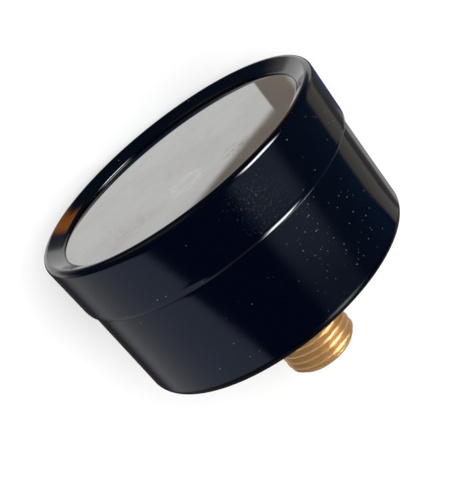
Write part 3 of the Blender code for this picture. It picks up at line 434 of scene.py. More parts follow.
def black_enamel():
    """Gloss black stoving paint with dust and faint smears, and a grainy patch that is partly painted glow
    beside the highlights.
    """
    look = Look("black_enamel")
    fine = look.noise(7000.0, 2.0, 0.6)
    dust, grain = enamel_dirt(look)
    dust_and_glow = look.math("MAXIMUM", dust, grain)
    dust_color = look.mix(look.ramp(fine, 0.3, 0.7), (0.05, 0.054, 0.058), (0.34, 0.33, 0.31))
    color = look.mix(dust, (0.0003, 0.0005, 0.0012), dust_color)
    # Golden-brown specks of the grainy patch: partly real grain, partly painted glow of the nearby
    # highlights.
    color = look.mix(look.times(grain, 0.8), color, (0.060, 0.047, 0.034))
    depth = look.components(look.position)[1]
    scuffed = look.ramp(depth, CREST + DULL_FROM, CREST + DULL_TO)
    rough = look.ramp(look.noise(60.0, 3.0, 0.6), 0.35, 0.75, 0.075, 0.12)
    rough = look.math("ADD", rough, look.times(dust_and_glow, 0.5))
    rough = look.math("ADD", rough, look.times(scuffed, 0.16))
    normal = look.bump(look.noise(900.0, 2.0, 0.5), 0.0022 * MM)
    normal = look.bump(fine, 0.0005 * MM, normal)
    normal = look.bump(dust_and_glow, 0.02 * MM, normal)
    return look.finish(color=color, roughness=rough, ior=1.5, normal=normal,
                       specular=look.ramp(scuffed, 0.0, 1.0, 0.5, 0.05))


def touched(look, color):
    """Lay finger marks over the window: a ring of grease, a brown smudge and some grime."""
    streaks = look.noise(900.0, 4.0, 0.7)
    ring = look.math("SUBTRACT", look.around(RING_PLACE, 0.5 * MM, 4.8 * MM),
                     look.around(RING_PLACE, 0.5 * MM, 2.6 * MM))
    ring = look.times(ring, look.ramp(streaks, 0.35, 0.65))
    color = look.mix(look.times(ring, 0.8), color, (0.62, 0.61, 0.58))
    smudge = look.times(look.around(SMUDGE_PLACE, 0.5 * MM, 7.5 * MM), look.ramp(streaks, 0.40, 0.62))
    color = look.mix(look.times(smudge, 0.45), color, (0.27, 0.235, 0.195))
    grime = look.times(look.around(GRIME_PLACE, 0.4 * MM, 3.6 * MM), look.ramp(streaks, 0.45, 0.60))
    return look.mix(look.times(grime, 0.75), color, (0.16, 0.125, 0.10))


def window_clear():
    """A clear flat window. It turns into a greyish mirror when it is seen at a low angle."""
    look = Look("window_clear")
    haze = look.noise(120.0, 4.0, 0.6)
    uneven = look.math("ADD", look.times(haze, 0.6), look.times(look.noise(6500.0, 2.0, 0.6), 0.4))
    color = look.mix(look.ramp(uneven, 0.38, 0.62), (0.350, 0.348, 0.342), (0.402, 0.399, 0.392))
    smear = look.ramp(look.noise(170.0, 3.0, 0.7), 0.60, 0.78)
    color = look.mix(look.times(smear, 0.35), color, (0.31, 0.27, 0.23))
    color = touched(look, color)
    color = look.mix(look.specks(1700.0, 0.05, 0.08, 0.22), color, (0.20, 0.17, 0.15))
    facing = look.add("ShaderNodeLayerWeight", {"Blend": 0.5}).outputs["Facing"]
    mirror = look.ramp(facing, 0.36, 0.61, 0.05, 0.985)
    return look.finish(color=color, metallic=1.0, alpha=mirror,
                       roughness=look.ramp(haze, 0.3, 0.8, 0.012, 0.035))


def rubber():
    look = Look("black_rubber")
    grain = look.noise(2500.0, 4.0, 0.65)
    bloom = look.noise(220.0, 3.0, 0.6)
    return look.finish(color=look.mix(bloom, (0.010, 0.010, 0.010), (0.028, 0.027, 0.026)),
                       roughness=look.ramp(grain, 0.3, 0.7, 0.62, 0.85),
                       normal=look.bump(grain, 0.02 * MM))


def dial_enamel():
    """Satin white paint of the dial."""
    look = Look("dial_enamel")
    tone = look.noise(140.0, 4.0, 0.6)
    grain = look.noise(9000.0, 2.0, 0.6)
    return look.finish(color=look.mix(tone, (0.80, 0.80, 0.775), (0.84, 0.84, 0.82)),
                       roughness=look.ramp(tone, 0.3, 0.7, 0.38, 0.48),
                       normal=look.bump(grain, 0.001 * MM))


def dial_ink():
    look = Look("dial_ink")
    tone = look.noise(2600.0, 3.0, 0.6)
    return look.finish(color=look.mix(tone, (0.010, 0.010, 0.011), (0.030, 0.030, 0.031)), roughness=0.45)


def pointer_lacquer():
    """Black lacquer, a little worn along the blade's edges."""
    look = Look("pointer_lacquer")
    tone = look.noise(900.0, 3.0, 0.6)
    worn = look.times(look.edges(0.08 * MM), 0.25)
    color = look.mix(tone, (0.008, 0.008, 0.009), (0.020, 0.020, 0.021))
    return look.finish(color=look.mix(worn, color, (0.25, 0.24, 0.23)),
                       roughness=look.ramp(tone, 0.3, 0.7, 0.28, 0.42),
                       normal=look.bump(tone, 0.004 * MM))


def metal(name, dark, light, roughness, polish, marks_scale, marks_depth, stretch=(1.0, 1.0, 1.0),
          worn=None):
    """A metal with patchy tone, stretched tool marks and, if a worn colour is given, brighter edges.

    A polish below 1 makes it duller, like a blasted or tarnished surface.
    """
    look = Look(name)
    tone = look.noise(260.0, 5.0, 0.62)
    marks = look.noise(marks_scale, 3.0, 0.6, look.stretched(stretch))
    color = look.mix(look.ramp(tone, 0.32, 0.70), dark, light)
    if worn:
        color = look.mix(look.times(look.edges(0.12 * MM), 0.6), color, worn)
    rough = look.math("ADD", look.ramp(marks, 0.3, 0.7, roughness - 0.05, roughness + 0.06),
                      look.ramp(tone, 0.4, 0.8, 0.0, 0.06))
    return look.finish(color=color, metallic=polish, roughness=rough, normal=look.bump(marks, marks_depth))


LOOKS = {
    "black_enamel": black_enamel(),
    "window_glass": window_clear(),
    "black_rubber": rubber(),
    "dial_enamel": dial_enamel(),
    "dial_ink": dial_ink(),
    "pointer_lacquer": pointer_lacquer(),
    "stem_brass": metal(
        "stem_brass", (0.60, 0.345, 0.13), (0.72, 0.44, 0.19), 0.34, 0.58, 1500.0, 0.00005 * MM),
    "movement_brass": metal(
        "movement_brass", (0.62, 0.45, 0.19), (0.76, 0.58, 0.28), 0.32, 0.72, 2400.0, 0.0004 * MM,
        stretch=(1.0, 1.0, 0.08), worn=(0.86, 0.70, 0.40)),
    "tube_bronze": metal(
        "tube_bronze", (0.52, 0.29, 0.14), (0.66, 0.40, 0.20), 0.34, 0.72, 1800.0, 0.0005 * MM),
    "spring_bronze": metal(
        "spring_bronze", (0.68, 0.45, 0.22), (0.78, 0.54, 0.28), 0.28, 0.75, 5000.0, 0.0002 * MM),
    "screw_steel": metal(
        "screw_steel", (0.46, 0.46, 0.47), (0.62, 0.62, 0.62), 0.30, 0.80, 2600.0, 0.0006 * MM,
        stretch=(1.0, 0.1, 1.0), worn=(0.80, 0.80, 0.80)),
}


# -------------------- shells

BEZEL_BORE = 25.3 * MM
BEZEL_REAR_RADIUS = 26.22 * MM  # the side tapers a little towards the case
BEZEL_SIDE_END = 9.2 * MM
CASE_SHEET = 0.6 * MM
CASE_MOUTH = 25.0 * MM  # radius of the neck that goes into the bezel
CASE_SHOULDER = BEZEL_DEPTH + 0.1 * MM
CASE_REAR_RADIUS = 25.3 * MM
CASE_CORNER = 1.6 * MM
CASE_HOLE = 7.1 * MM  # the socket comes through here


def bezel_rim():
    """Profile of the rim, an oval that is tighter on the funnel's side."""
    rim = 0.95 * MM
    rim_width = 1.02 * MM
    inner_rim = 0.45 * MM
    crest_radius = BEZEL_RADIUS - rim_width - 0.004 * MM
    profile = arc(crest_radius, inner_rim, inner_rim, -114, -90, 5)
    profile += [(crest_radius + (radius - crest_radius) * rim_width / rim, depth)
                for radius, depth in arc(crest_radius, rim, rim, -84, 0, 14)]
    side_start = rim + 0.2 * MM
    return profile + straight((BEZEL_RADIUS, side_start), (BEZEL_REAR_RADIUS, BEZEL_SIDE_END))


def bezel_rear():
    """Profile of the rounded rear edge, the rear face and the step into the bore."""
    drop = 0.22 * MM
    end = math.radians(80)
    chamfer = 0.05 * MM
    bore_chamfer = 0.06 * MM
    length = BEZEL_DEPTH - chamfer - BEZEL_SIDE_END
    rounded = [(BEZEL_REAR_RADIUS - drop * (1 - math.cos(end * t)),
                BEZEL_SIDE_END + length * math.sin(end * t) / math.sin(end)) for t in parts(10)[1:]]
    return rounded + [(BEZEL_REAR_RADIUS - drop - chamfer, BEZEL_DEPTH),
                      (BEZEL_BORE + bore_chamfer, BEZEL_DEPTH), (BEZEL_BORE, BEZEL_DEPTH - bore_chamfer)]


def bezel_inside():
    """Profile of the back of the funnel, the lip and the funnel."""
    lip_radius = 22.9 * MM
    lip_back = 1.55 * MM
    lip_front = 1.25 * MM
    lip_slope = (23.5 * MM, 0.972 * MM)
    funnel = (24.4 * MM, 0.5585 * MM)
    behind = [(BEZEL_BORE, 1.60 * MM), (25.0 * MM, 1.15 * MM), (23.7 * MM, lip_back),
              (lip_radius + 0.05 * MM, lip_back)]
    lip = rounding((lip_radius, lip_back - 0.04 * MM), (lip_radius, lip_front), lip_slope, 10)
    return behind + lip + [funnel]


def make_bezel():
    """The pressed ring around the window."""
    profile = bezel_rim() + bezel_rear() + bezel_inside()
    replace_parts(turned_piece("bezel_ring", profile, "black_enamel", steps=SHELL_ROUND), "bezel")


def case_profile():
    """The drawn cup with its necked mouth, slight taper and rounded rear corner."""
    edge = 0.1 * MM
    side_start = (CASE_RADIUS, CASE_SHOULDER + edge)
    along_side = (CASE_RADIUS - 0.12 * MM, 18.0 * MM)
    corner_radius = CASE_REAR_RADIUS - CASE_CORNER
    corner_depth = CASE_BACK - CASE_CORNER
    floor = 20.0 * MM
    inner_back = CASE_BACK - CASE_SHEET
    neck = CASE_MOUTH - CASE_SHEET
    profile = soften([(CASE_MOUTH, CASE_FRONT), (CASE_MOUTH, CASE_SHOULDER - edge),
                      (CASE_RADIUS - edge, CASE_SHOULDER), side_start, along_side], 0.05 * MM, 3)[:-1]
    profile += straight((CASE_RADIUS, CASE_SHOULDER + 2 * edge), (CASE_REAR_RADIUS, corner_depth))
    profile += arc(corner_radius, corner_depth, CASE_CORNER, 0, 90, 14)[1:]
    profile += soften([(floor, CASE_BACK), (CASE_HOLE, CASE_BACK), (CASE_HOLE, inner_back),
                       (floor, inner_back)], 0.08 * MM)
    profile += reversed(arc(corner_radius, corner_depth, CASE_CORNER - CASE_SHEET, 0, 90, 8))
    return profile + [(CASE_RADIUS - CASE_SHEET, CASE_SHOULDER + CASE_SHEET),
                      (neck, CASE_SHOULDER + 0.3 * MM), (neck, CASE_FRONT + edge),
                      (neck + edge, CASE_FRONT)]


def make_case():
    case = turned_piece("case_shell", case_profile(), "black_enamel", steps=SHELL_ROUND)
    hole = 1.6 * MM
    front = CASE_BACK - CASE_SHEET - CUT
    for node in ("case_screw_1", "case_screw_2"):
        combine(case, cylinder(hole, front, CASE_BACK + CUT, node_centre(node)))
    shade(case.data)
    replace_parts(case, "case")


def make_window():
    """The window disc, a little nearer to the bezel's lip than in the CAD model."""
    edge = 0.2 * MM
    front = WINDOW_FRONT - 0.25 * MM
    middle = WINDOW_RADIUS * 0.5
    profile = [(0.0, front), (middle, front), (WINDOW_RADIUS - edge, front), (WINDOW_RADIUS, front + edge),
               (WINDOW_RADIUS, WINDOW_BACK - edge), (WINDOW_RADIUS - edge, WINDOW_BACK),
               (middle, WINDOW_BACK), (0.0, WINDOW_BACK)]
    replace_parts(turned_piece("window_disc", profile, "window_glass"), "window")


# -------------------- socket and stem

THREAD_MAJOR = 6.5785 * MM
THREAD_MINOR = 5.85 * MM
THREAD_PITCH = 1.337 * MM
THREAD_ROOT = THREAD_MINOR - 0.1 * MM  # radius in front of the thread
WRENCH_FRONT = 28.6 * MM
WRENCH_BACK = 33.1 * MM
BLOCK_HALF = SOCKET_HIGH.x - 2.25 * MM
BLOCK_LOW = SOCKET_LOW.z
BLOCK_HIGH = 5.8 * MM
BLOCK_FRONT = 15.5 * MM
BLOCK_BACK = 23.0 * MM
BAR_FRONT = 22.5 * MM
BAR_BACK = 27.4 * MM
ROOT_CORNER = ((-6.0 * MM, -22.0 * MM, 14.0 * MM), (-1.5 * MM, -15.2 * MM, BLOCK_BACK))
SCREW_STEP = ((-6.0 * MM, -15.6 * MM, 14.0 * MM), (6.0 * MM, -11.3 * MM, 16.5 * MM))
TUBE_POCKET = ((-6.0 * MM, -19.7 * MM, 16.2 * MM), (2.4 * MM, -16.3 * MM, 22.8 * MM))
NECK_RADIUS = 6.8 * MM
NECK_FRONT = 26.0 * MM
PORT_RADIUS = 2.5 * MM
PORT_DRILL = 1.25 * MM  # radius of the narrow channel to the tube
TURNED_ROUND = 96  # facets of the neck and the square's corners


def thread_shift(angle, radius, depth):
    """Radius of the right-hand pipe thread, with broad round crests and narrow roots."""
    phase = ((depth - STEM_END) / THREAD_PITCH - angle / math.tau) % 1.0
    thread = THREAD_MINOR + (THREAD_MAJOR - THREAD_MINOR) * math.sin(math.pi * phase) ** 0.9
    return min(thread, radius)


def stem_solid():
    """The threaded stem, with a chamfered end. The thread fades out at the wrench square."""
    hidden_front = 30.0 * MM
    start = WRENCH_BACK - 0.4 * MM
    chamfer = 1.1 * MM
    relief = 0.75 * MM
    fade = 0.5 * MM
    fade_slope = 1.9
    profile = [(0.0, hidden_front), (THREAD_ROOT, hidden_front)]
    for t in parts(150):
        depth = start + (STEM_END - start) * t
        outer = THREAD_MAJOR - max(0.0, depth - STEM_END + chamfer)
        after = depth - WRENCH_BACK - relief
        if after < fade:
            outer = min(outer, THREAD_ROOT + max(0.0, after) * fade_slope)
        profile.append((outer, depth))
    profile.append((0.0, STEM_END))
    return turned_helper(profile, 120, shift=thread_shift)


def wrench_square():
    """The wrench square, with its corners turned off."""
    flats = SOCKET_HIGH.x
    corner = 8.6 * MM
    square = block((-flats, -flats, WRENCH_FRONT), (flats, flats, WRENCH_BACK))
    envelope = [(0.0, WRENCH_FRONT - CUT), (corner - 0.7 * MM, WRENCH_FRONT - CUT),
                (corner, WRENCH_FRONT + 0.35 * MM), (corner, WRENCH_BACK - 0.5 * MM),
                (corner - 1.0 * MM, WRENCH_BACK + 0.01 * MM), (0.0, WRENCH_BACK + 0.01 * MM)]
    combine(square, turned_helper(envelope, TURNED_ROUND), "INTERSECT")
    return square


def port_solid():
    """The pressure port: narrow channel, cone, wide bore and a chamfer at the stem's end."""
    front = 18.6 * MM
    cone = 29.5 * MM
    cone_end = 31.0 * MM
    past_end = STEM_END + 0.2 * MM
    profile = [(0.0, front), (PORT_DRILL, front), (PORT_DRILL, cone), (PORT_RADIUS, cone_end),
               (PORT_RADIUS, STEM_END - 0.4 * MM), (PORT_RADIUS + 0.6 * MM, past_end), (0.0, past_end)]
    return turned_helper(profile, SMALL_ROUND)


def shape_block(socket):
    """Join the bar to the block, and cut the corner at the tube's root and the step for the screws."""
    bar = block((-BLOCK_HALF, BLOCK_LOW, BAR_FRONT), (BLOCK_HALF, SOCKET_HIGH.z, BAR_BACK))
    combine(socket, bar, "UNION")
    combine(socket, block(*ROOT_CORNER))
    combine(socket, block(*SCREW_STEP))
    bevel(socket, 0.25 * MM)


def drill_socket(socket):
    """Cut the port, the pocket of the tube's root and the screw holes."""
    combine(socket, port_solid())
    combine(socket, block(*TUBE_POCKET))
    for name, radius, front, back in (("movement_screw", 0.95 * MM, 14.0 * MM, 18.0 * MM),
                                      ("case_screw", 1.55 * MM, 24.2 * MM, 28.0 * MM)):
        for number in (1, 2):
            combine(socket, cylinder(radius, front, back, node_centre("%s_%d" % (name, number))))


def make_socket():
    """Brass socket block with wrench square and threaded stem."""
    body = box_mesh((-BLOCK_HALF, BLOCK_LOW, BLOCK_FRONT), (BLOCK_HALF, BLOCK_HIGH, BLOCK_BACK))
    socket = finish_mesh(body, "socket_body", "stem_brass")
    shape_block(socket)
    neck = cylinder(NECK_RADIUS, NECK_FRONT, WRENCH_FRONT + CUT, steps=TURNED_ROUND)
    combine(socket, neck, "UNION")
    combine(socket, wrench_square(), "UNION")
    combine(socket, stem_solid(), "UNION")
    drill_socket(socket)
    shade(socket.data, math.radians(38))
    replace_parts(socket, "socket")


def slotted_screws(name, profile, slot_half, slot_from, slot_to):
    """Two equal turned screws with a screwdriver slot, in place of two CAD screws."""
    reach = 3 * MM
    for number in (1, 2):
        node = "%s_%d" % (name, number)
        x, z = node_centre(node)
        screw = turned_piece("%s_head_%d" % (name, number), profile, "screw_steel",
                             steps=SMALL_ROUND, place=(x, z))
        combine(screw, block((x - reach, z - slot_half, slot_from), (x + reach, z + slot_half, slot_to)))
        shade(screw.data)
        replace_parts(screw, node)


def make_case_screws():
    """The two round-headed screws that hold the case on the socket."""
    tip = 24.5 * MM
    shank = 1.25 * MM
    tip_chamfer = 0.25 * MM
    head = CASE_BACK + 0.3 * MM
    # The head's radius at each height above its seat, in millimetres.
    dome = [(2.3, 0.0), (2.4, 0.12), (2.38, 0.5), (2.1, 0.92), (1.6, 1.2), (0.9, 1.36), (0.0, 1.4)]
    profile = [(0.0, tip), (shank - tip_chamfer, tip), (shank, tip + 0.3 * MM), (shank, head)]
    profile += [(radius * MM, head + height * MM) for radius, height in dome]
    slotted_screws("case_screw", profile, 0.3 * MM, head + 0.7 * MM, head + 3 * MM)


def make_dial_screws():
    """The two small flat-headed screws that hold the dial."""
    head = DIAL_FRONT - 0.9 * MM
    under_head = DIAL_FRONT - 0.3 * MM
    radius = 1.2 * MM
    shank = 0.5 * MM
    end = 9.3 * MM
    profile = [(0.0, head), (radius - 0.2 * MM, head), (radius - 0.04 * MM, head + 0.05 * MM),
               (radius, head + 0.16 * MM), (radius, under_head), (shank, under_head), (shank, end),
               (0.0, end)]
    slotted_screws("dial_screw", profile, 0.175 * MM, head - CUT, head + 0.3 * MM)


# -------------------- dial, pointer and hub

ZERO = math.radians(225)
SWEEP = math.radians(270)
SCALE_OUTER = 21.4 * MM
SCALE_LINE = 0.25 * MM  # width of the arc around the marks
MAJOR_INNER = 18.5 * MM
MAJOR_HALF = 0.24 * MM
MINOR_INNER = 20.0 * MM
MINOR_HALF = 0.10 * MM
NUMBER_RADIUS = 15.6 * MM
NUMBER_SIZE = 4.6 * MM
PRINT = 0.03 * MM  # thickness of the printed marks
MAJOR_MARKS = 10
MINOR_PER_MAJOR = 5


def scale_angle(part):
    """Direction of a scale reading, from 0 at zero to 1 at full scale."""
    return ZERO - SWEEP * part


def make_dial():
    """The dial plate with its holes."""
    hole = 1.6 * MM
    ring = [(DIAL_RADIUS, DIAL_FRONT), (DIAL_RADIUS, DIAL_BACK), (hole, DIAL_BACK), (hole, DIAL_FRONT)]
    dial = turned_piece("dial_face", soften_ring(ring, 0.06 * MM), "dial_enamel")
    for node, radius in (("dial_screw_1", 0.8 * MM), ("dial_screw_2", 0.8 * MM), ("stop_pin", 0.7 * MM)):
        combine(dial, cylinder(radius, DIAL_FRONT - CUT, DIAL_BACK + CUT, node_centre(node)))
    shade(dial.data)
    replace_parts(dial, "dial_plate")


def mark_outline(angle, inner, outer, half_width):
    along = Vector(polar(1.0, angle))
    across = Vector((-along.y, along.x)) * half_width
    corners = (along * inner - across, along * outer - across, along * outer + across, along * inner + across)
    return [(corner.x, corner.y) for corner in corners]


def make_scale():
    """Printed division marks and the arc that joins them."""
    front = DIAL_FRONT - PRINT
    divisions = MAJOR_MARKS * MINOR_PER_MAJOR
    bm = bmesh.new()
    for i in range(divisions + 1):
        major = i % MINOR_PER_MAJOR == 0
        inner = MAJOR_INNER if major else MINOR_INNER
        half_width = MAJOR_HALF if major else MINOR_HALF
        prism(bm, mark_outline(scale_angle(i / divisions), inner, SCALE_OUTER, half_width), front, DIAL_FRONT)
    finish_mesh(bm, "scale_marks", "dial_ink")
    places = parts(180)
    outline = [polar(SCALE_OUTER + SCALE_LINE, scale_angle(part)) for part in places]
    outline += [polar(SCALE_OUTER, scale_angle(part)) for part in reversed(places)]
    bm = bmesh.new()
    prism(bm, outline, front, DIAL_FRONT)
    finish_mesh(bm, "scale_arc", "dial_ink")


def number_mesh(value):
    """A printed number in its place. The text is made at size 1 and scaled down afterwards."""
    curve = bpy.data.curves.new("number", "FONT")
    curve.body = str(value)
    curve.align_x = "CENTER"
    curve.align_y = "CENTER"
    curve.extrude = PRINT / 2 / NUMBER_SIZE
    text = add_object("number", curve)
    mesh = evaluated_mesh(text)
    centre = spot(*polar(NUMBER_RADIUS, scale_angle(value / MAJOR_MARKS)), DIAL_FRONT - PRINT / 2)
    upright = Matrix.Rotation(math.pi / 2, 4, "X")
    mesh.transform(Matrix.Translation(centre) @ upright @ Matrix.Scale(NUMBER_SIZE, 4))
    bpy.data.objects.remove(text)
    return mesh


def make_numbers():
    """Printed numbers at every second main mark."""
    bm = bmesh.new()
    for value in range(0, MAJOR_MARKS + 1, 2):
        bm.from_mesh(number_mesh(value))
    bmesh.ops.remove_doubles(bm, verts=bm.verts, dist=0.001 * MM)
    finish_mesh(bm, "scale_numbers", "dial_ink")


def pointer_outline():
    """A slim point, a round boss and a broad tail, drawn pointing up."""
    tip = 17.5 * MM
    tip_half = 0.12 * MM
    boss = 2.0 * MM
    root = 0.75 * MM
    tail = 1.3 * MM
    tail_end = -6.2 * MM
    side = math.asin(root / boss)
    half_turn = [side + (math.pi - 2 * side) * t for t in parts(16)]
    outline = [(tip_half, tip - 0.2 * MM), (0.0, tip), (-tip_half, tip - 0.2 * MM)]
    outline += [polar(boss, math.pi / 2 + angle) for angle in half_turn]
    corner = [(-tail, tail_end + 0.6 * MM), (-tail + 0.15 * MM, tail_end + 0.15 * MM),
              (-tail + 0.5 * MM, tail_end)]
    outline += corner + [(-x, z) for x, z in reversed(corner)]
    return outline + [polar(boss, -math.pi / 2 + angle) for angle in half_turn]


def make_pointer():
    """The pointer blade at the zero mark."""
    front = 5.7 * MM
    thickness = 0.4 * MM
    hole = 1.3 * MM
    turn = ZERO - math.pi / 2
    turned = [(x * math.cos(turn) - z * math.sin(turn), x * math.sin(turn) + z * math.cos(turn))
              for x, z in pointer_outline()]
    bm = bmesh.new()
    prism(bm, turned, front, front + thickness)
    pointer = finish_mesh(bm, "pointer_blade", "pointer_lacquer", "pointer_assembly")
    combine(pointer, cylinder(hole, front - CUT, front + CUT, steps=48))
    bevel(pointer, 0.05 * MM)
    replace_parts(pointer, "pointer")


def make_hub():
    """The pointer's hub: a stepped cap in front of the blade and a bushing on the shaft."""
    front = 4.9 * MM
    cap_back = 5.4 * MM
    bushing = 1.0 * MM
    bushing_end = 7.2 * MM
    hole = 0.65 * MM
    hole_front = 5.7 * MM
    # The cap's radius at each depth behind its front, in millimetres.
    steps = [(0.0, 0.28), (0.55, 0.26), (0.8, 0.16), (1.0, 0.0), (1.85, 0.0), (2.02, 0.04), (2.1, 0.16)]
    profile = [(radius * MM, front + behind * MM) for radius, behind in steps]
    profile += [(profile[-1][0], cap_back), (bushing, cap_back), (bushing, bushing_end),
                (hole, bushing_end), (hole, hole_front), (0.0, hole_front)]
    cap = turned_piece("hub_cap", profile, "movement_brass", "pointer_assembly", SMALL_ROUND)
    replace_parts(cap, "pointer_hub")


def make_stop_pin():
    """The pin the pointer rests against at zero, with a flange behind the dial."""
    tip = 5.2 * MM
    radius = 0.4 * MM
    flange_radius = 0.9 * MM
    flange = DIAL_BACK + 0.3 * MM
    flange_end = flange + 0.5 * MM
    profile = [(0.0, tip), (radius - 0.12 * MM, tip + 0.02 * MM), (radius, tip + 0.18 * MM),
               (radius, flange), (flange_radius, flange), (flange_radius, flange_end - 0.1 * MM),
               (flange_radius - 0.1 * MM, flange_end), (0.0, flange_end)]
    place = node_centre("stop_pin")
    pin = turned_piece("stop_peg", profile, "screw_steel", steps=40, place=place)
    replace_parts(pin, "stop_pin")


# -------------------- movement

TUBE_RADIUS = 18.0 * MM  # middle line of the Bourdon tube
TUBE_WIDTH = 6.0 * MM
TUBE_HEIGHT = 2.8 * MM
TUBE_WALL = 0.45 * MM
TUBE_MIDDLE = 19.5 * MM
TUBE_TIP = math.radians(20)
TUBE_ROOT = math.radians(276)
TUBE_STEPS = 110
SPRING_START = math.radians(40)  # direction of the stud at the hairspring's outer end
SPRING_TURNS = 4.5
SPRING_INNER = 1.85 * MM
SPRING_OUTER = 5.2 * MM
SPRING_FRONT = 10.1 * MM
SPRING_HEIGHT = 0.6 * MM
SPRING_HALF = 0.06 * MM  # half the ribbon's thickness
SPRING_STEPS = 540


def tube_ring(bm, angle, shrink):
    """One oval section of the Bourdon tube, made smaller all around by the given amount."""
    size = TUBE_HEIGHT / 2 - shrink
    half = (TUBE_WIDTH - TUBE_HEIGHT) / 2
    ring = []
    for side, start in ((half, 0.0), (-half, math.pi)):
        for t in parts(10):
            out, back = polar(size, start + math.pi * t)
            ring.append(bm.verts.new(spot(*polar(TUBE_RADIUS + out, angle), TUBE_MIDDLE + side + back)))
    return ring


def arc_centroid(start, end):
    """Centroid of a stretch of the tube's middle line."""
    half = (end - start) / 2
    tiny = 1e-6
    radius = TUBE_RADIUS * (math.sin(half) / half if half > tiny else 1.0)
    return Vector(polar(radius, (start + end) / 2))


def tube_share(place):
    """How far a point follows the tip's swing when the tube unbends evenly from its root."""
    angle = math.atan2(place.z, place.x) % math.tau
    point = Vector(polar(TUBE_RADIUS, angle))
    part = (TUBE_ROOT - angle) / (TUBE_ROOT - TUBE_TIP)
    arm = point - arc_centroid(TUBE_TIP, TUBE_ROOT)
    share = part * (point - arc_centroid(angle, TUBE_ROOT)).dot(arm) / arm.length_squared
    return min(1.0, max(0.0, share))


def bend_between(piece, shares):
    """Bake a piece's placement into its mesh. The share given for every point is not used."""
    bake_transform(piece)


def make_bourdon_tube():
    """The hollow flattened tube, open at both ends, that unbends as the pressure rises."""
    bm = bmesh.new()
    outer = []
    inner = []
    for t in parts(TUBE_STEPS):
        angle = TUBE_TIP + (TUBE_ROOT - TUBE_TIP) * t
        outer.append(tube_ring(bm, angle, 0.0))
        inner.append(tube_ring(bm, angle, TUBE_WALL))
    skin(bm, outer)
    skin(bm, inner)
    for end in (0, -1):
        skin(bm, [outer[end], inner[end]])
    tube = finish_mesh(bm, "bourdon_coil", "tube_bronze", body=None)
    bend_between(tube, [tube_share(vertex.co) for vertex in tube.data.vertices])
    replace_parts(tube, "bourdon_tube")


def ribbon_section():
    """The hairspring's section as (outwards, depth) pairs, with its corners taken off."""
    edge = SPRING_HALF * 0.6
    back = SPRING_FRONT + SPRING_HEIGHT
    return ((-SPRING_HALF, SPRING_FRONT + edge), (-edge, SPRING_FRONT), (edge, SPRING_FRONT),
            (SPRING_HALF, SPRING_FRONT + edge), (SPRING_HALF, back - edge), (edge, back),
            (-edge, back), (-SPRING_HALF, back - edge))


def make_hairspring():
    """The flat spiral ribbon from the collet on the shaft out to its stud."""
    bm = bmesh.new()
    rings = []
    shares = []
    section = ribbon_section()
    for part in parts(SPRING_STEPS):
        middle = SPRING_INNER + (SPRING_OUTER - SPRING_INNER) * part
        angle = SPRING_START - SPRING_TURNS * math.tau * (1 - part)
        rings.append([bm.verts.new(spot(*polar(middle + aside, angle), depth)) for aside, depth in section])
        shares += [1 - part] * len(section)
    skin(bm, rings)
    bm.faces.new(rings[0])
    bm.faces.new(rings[-1])
    spring = finish_mesh(bm, "hairspring_coil", "spring_bronze", body=None)
    bend_between(spring, shares)
    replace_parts(spring, "hairspring")


def dress_cad_nodes():
    """Give the CAD pieces their slot's material and smooth round faces."""
    for name, node in frame["nodes"].items():
        node.data.materials.clear()
        node.data.materials.append(LOOKS[SLOT_OF_NODE[name]])
        shade(node.data, math.radians(35))


# -------------------- studio

AXIS_ROLL = math.radians(51.11)  # direction of the gauge's axis in the view, down from the right
AXIS_TILT = math.radians(20.5)  # how far the axis points away from the viewer
VIEW_DISTANCE = 7.53  # camera to the crest's plane, in bezel radii
VIEW_OFFSET = (-0.375, -0.482)  # crest's centre, right of and below the view's centre, likewise
LENS = 94.35
FLOOR_SIZE = 3.0
FLOOR_GAP = 0.1 * MM
SOFT_WHITE = (0.95, 0.95, 0.95)
FLOOR_WHITE = (0.93, 0.93, 0.93)
LAMP_PLACE = (-0.12, -0.30, 0.75)
LAMP_SIZE = 0.5
LAMP_POWER = 3.0


def make_camera():
    """The camera stands above the gauge and in front of it, as a person looking down at a table."""
    away = Vector((0.0, 0.0, 1.0))
    across, down = polar(math.cos(AXIS_TILT), AXIS_ROLL)
    axis = Vector((across, down, math.sin(AXIS_TILT)))
    side = -axis.cross(away).normalized()
    up = axis.cross(axis.cross(away)).normalized()
    to_view = Matrix((side, axis, up)).transposed()
    crest = Vector((*VIEW_OFFSET, VIEW_DISTANCE)) * BEZEL_RADIUS
    place = Vector((0.0, CREST, 0.0)) - to_view.transposed() @ crest
    data = bpy.data.cameras.new("camera")
    data.lens = LENS
    data.sensor_width = 36.0
    data.clip_start = 0.01
    camera = add_object("camera", data)
    flip = Matrix.Diagonal((1.0, -1.0, -1.0))
    camera.matrix_world = Matrix.Translation(place) @ (to_view.transposed() @ flip).to_4x4()
    bpy.context.scene.camera = camera


def make_floor():
    """A white floor just under the gauge. Shiny surfaces see the room instead."""
    bm = bmesh.new()
    bmesh.ops.create_grid(bm, x_segments=1, y_segments=1, size=FLOOR_SIZE)
    floor = mesh_object(bm, "floor")
    floor.location = (0.0, 0.0, -BEZEL_RADIUS - FLOOR_GAP)
    floor.data.materials.append(Look("floor").finish(color=FLOOR_WHITE, roughness=0.9, specular=0.0))
    floor.visible_glossy = False


def make_lamp():
    """A soft round lamp above, aimed at the gauge. It isn't seen in reflections."""
    data = bpy.data.lights.new("key", "AREA")
    data.shape = "DISK"
    data.size = LAMP_SIZE
    data.energy = LAMP_POWER
    light = add_object("key", data)
    light.location = LAMP_PLACE
    light.rotation_euler = (-Vector(LAMP_PLACE)).to_track_quat("-Z", "Y").to_euler()
    light.visible_glossy = False


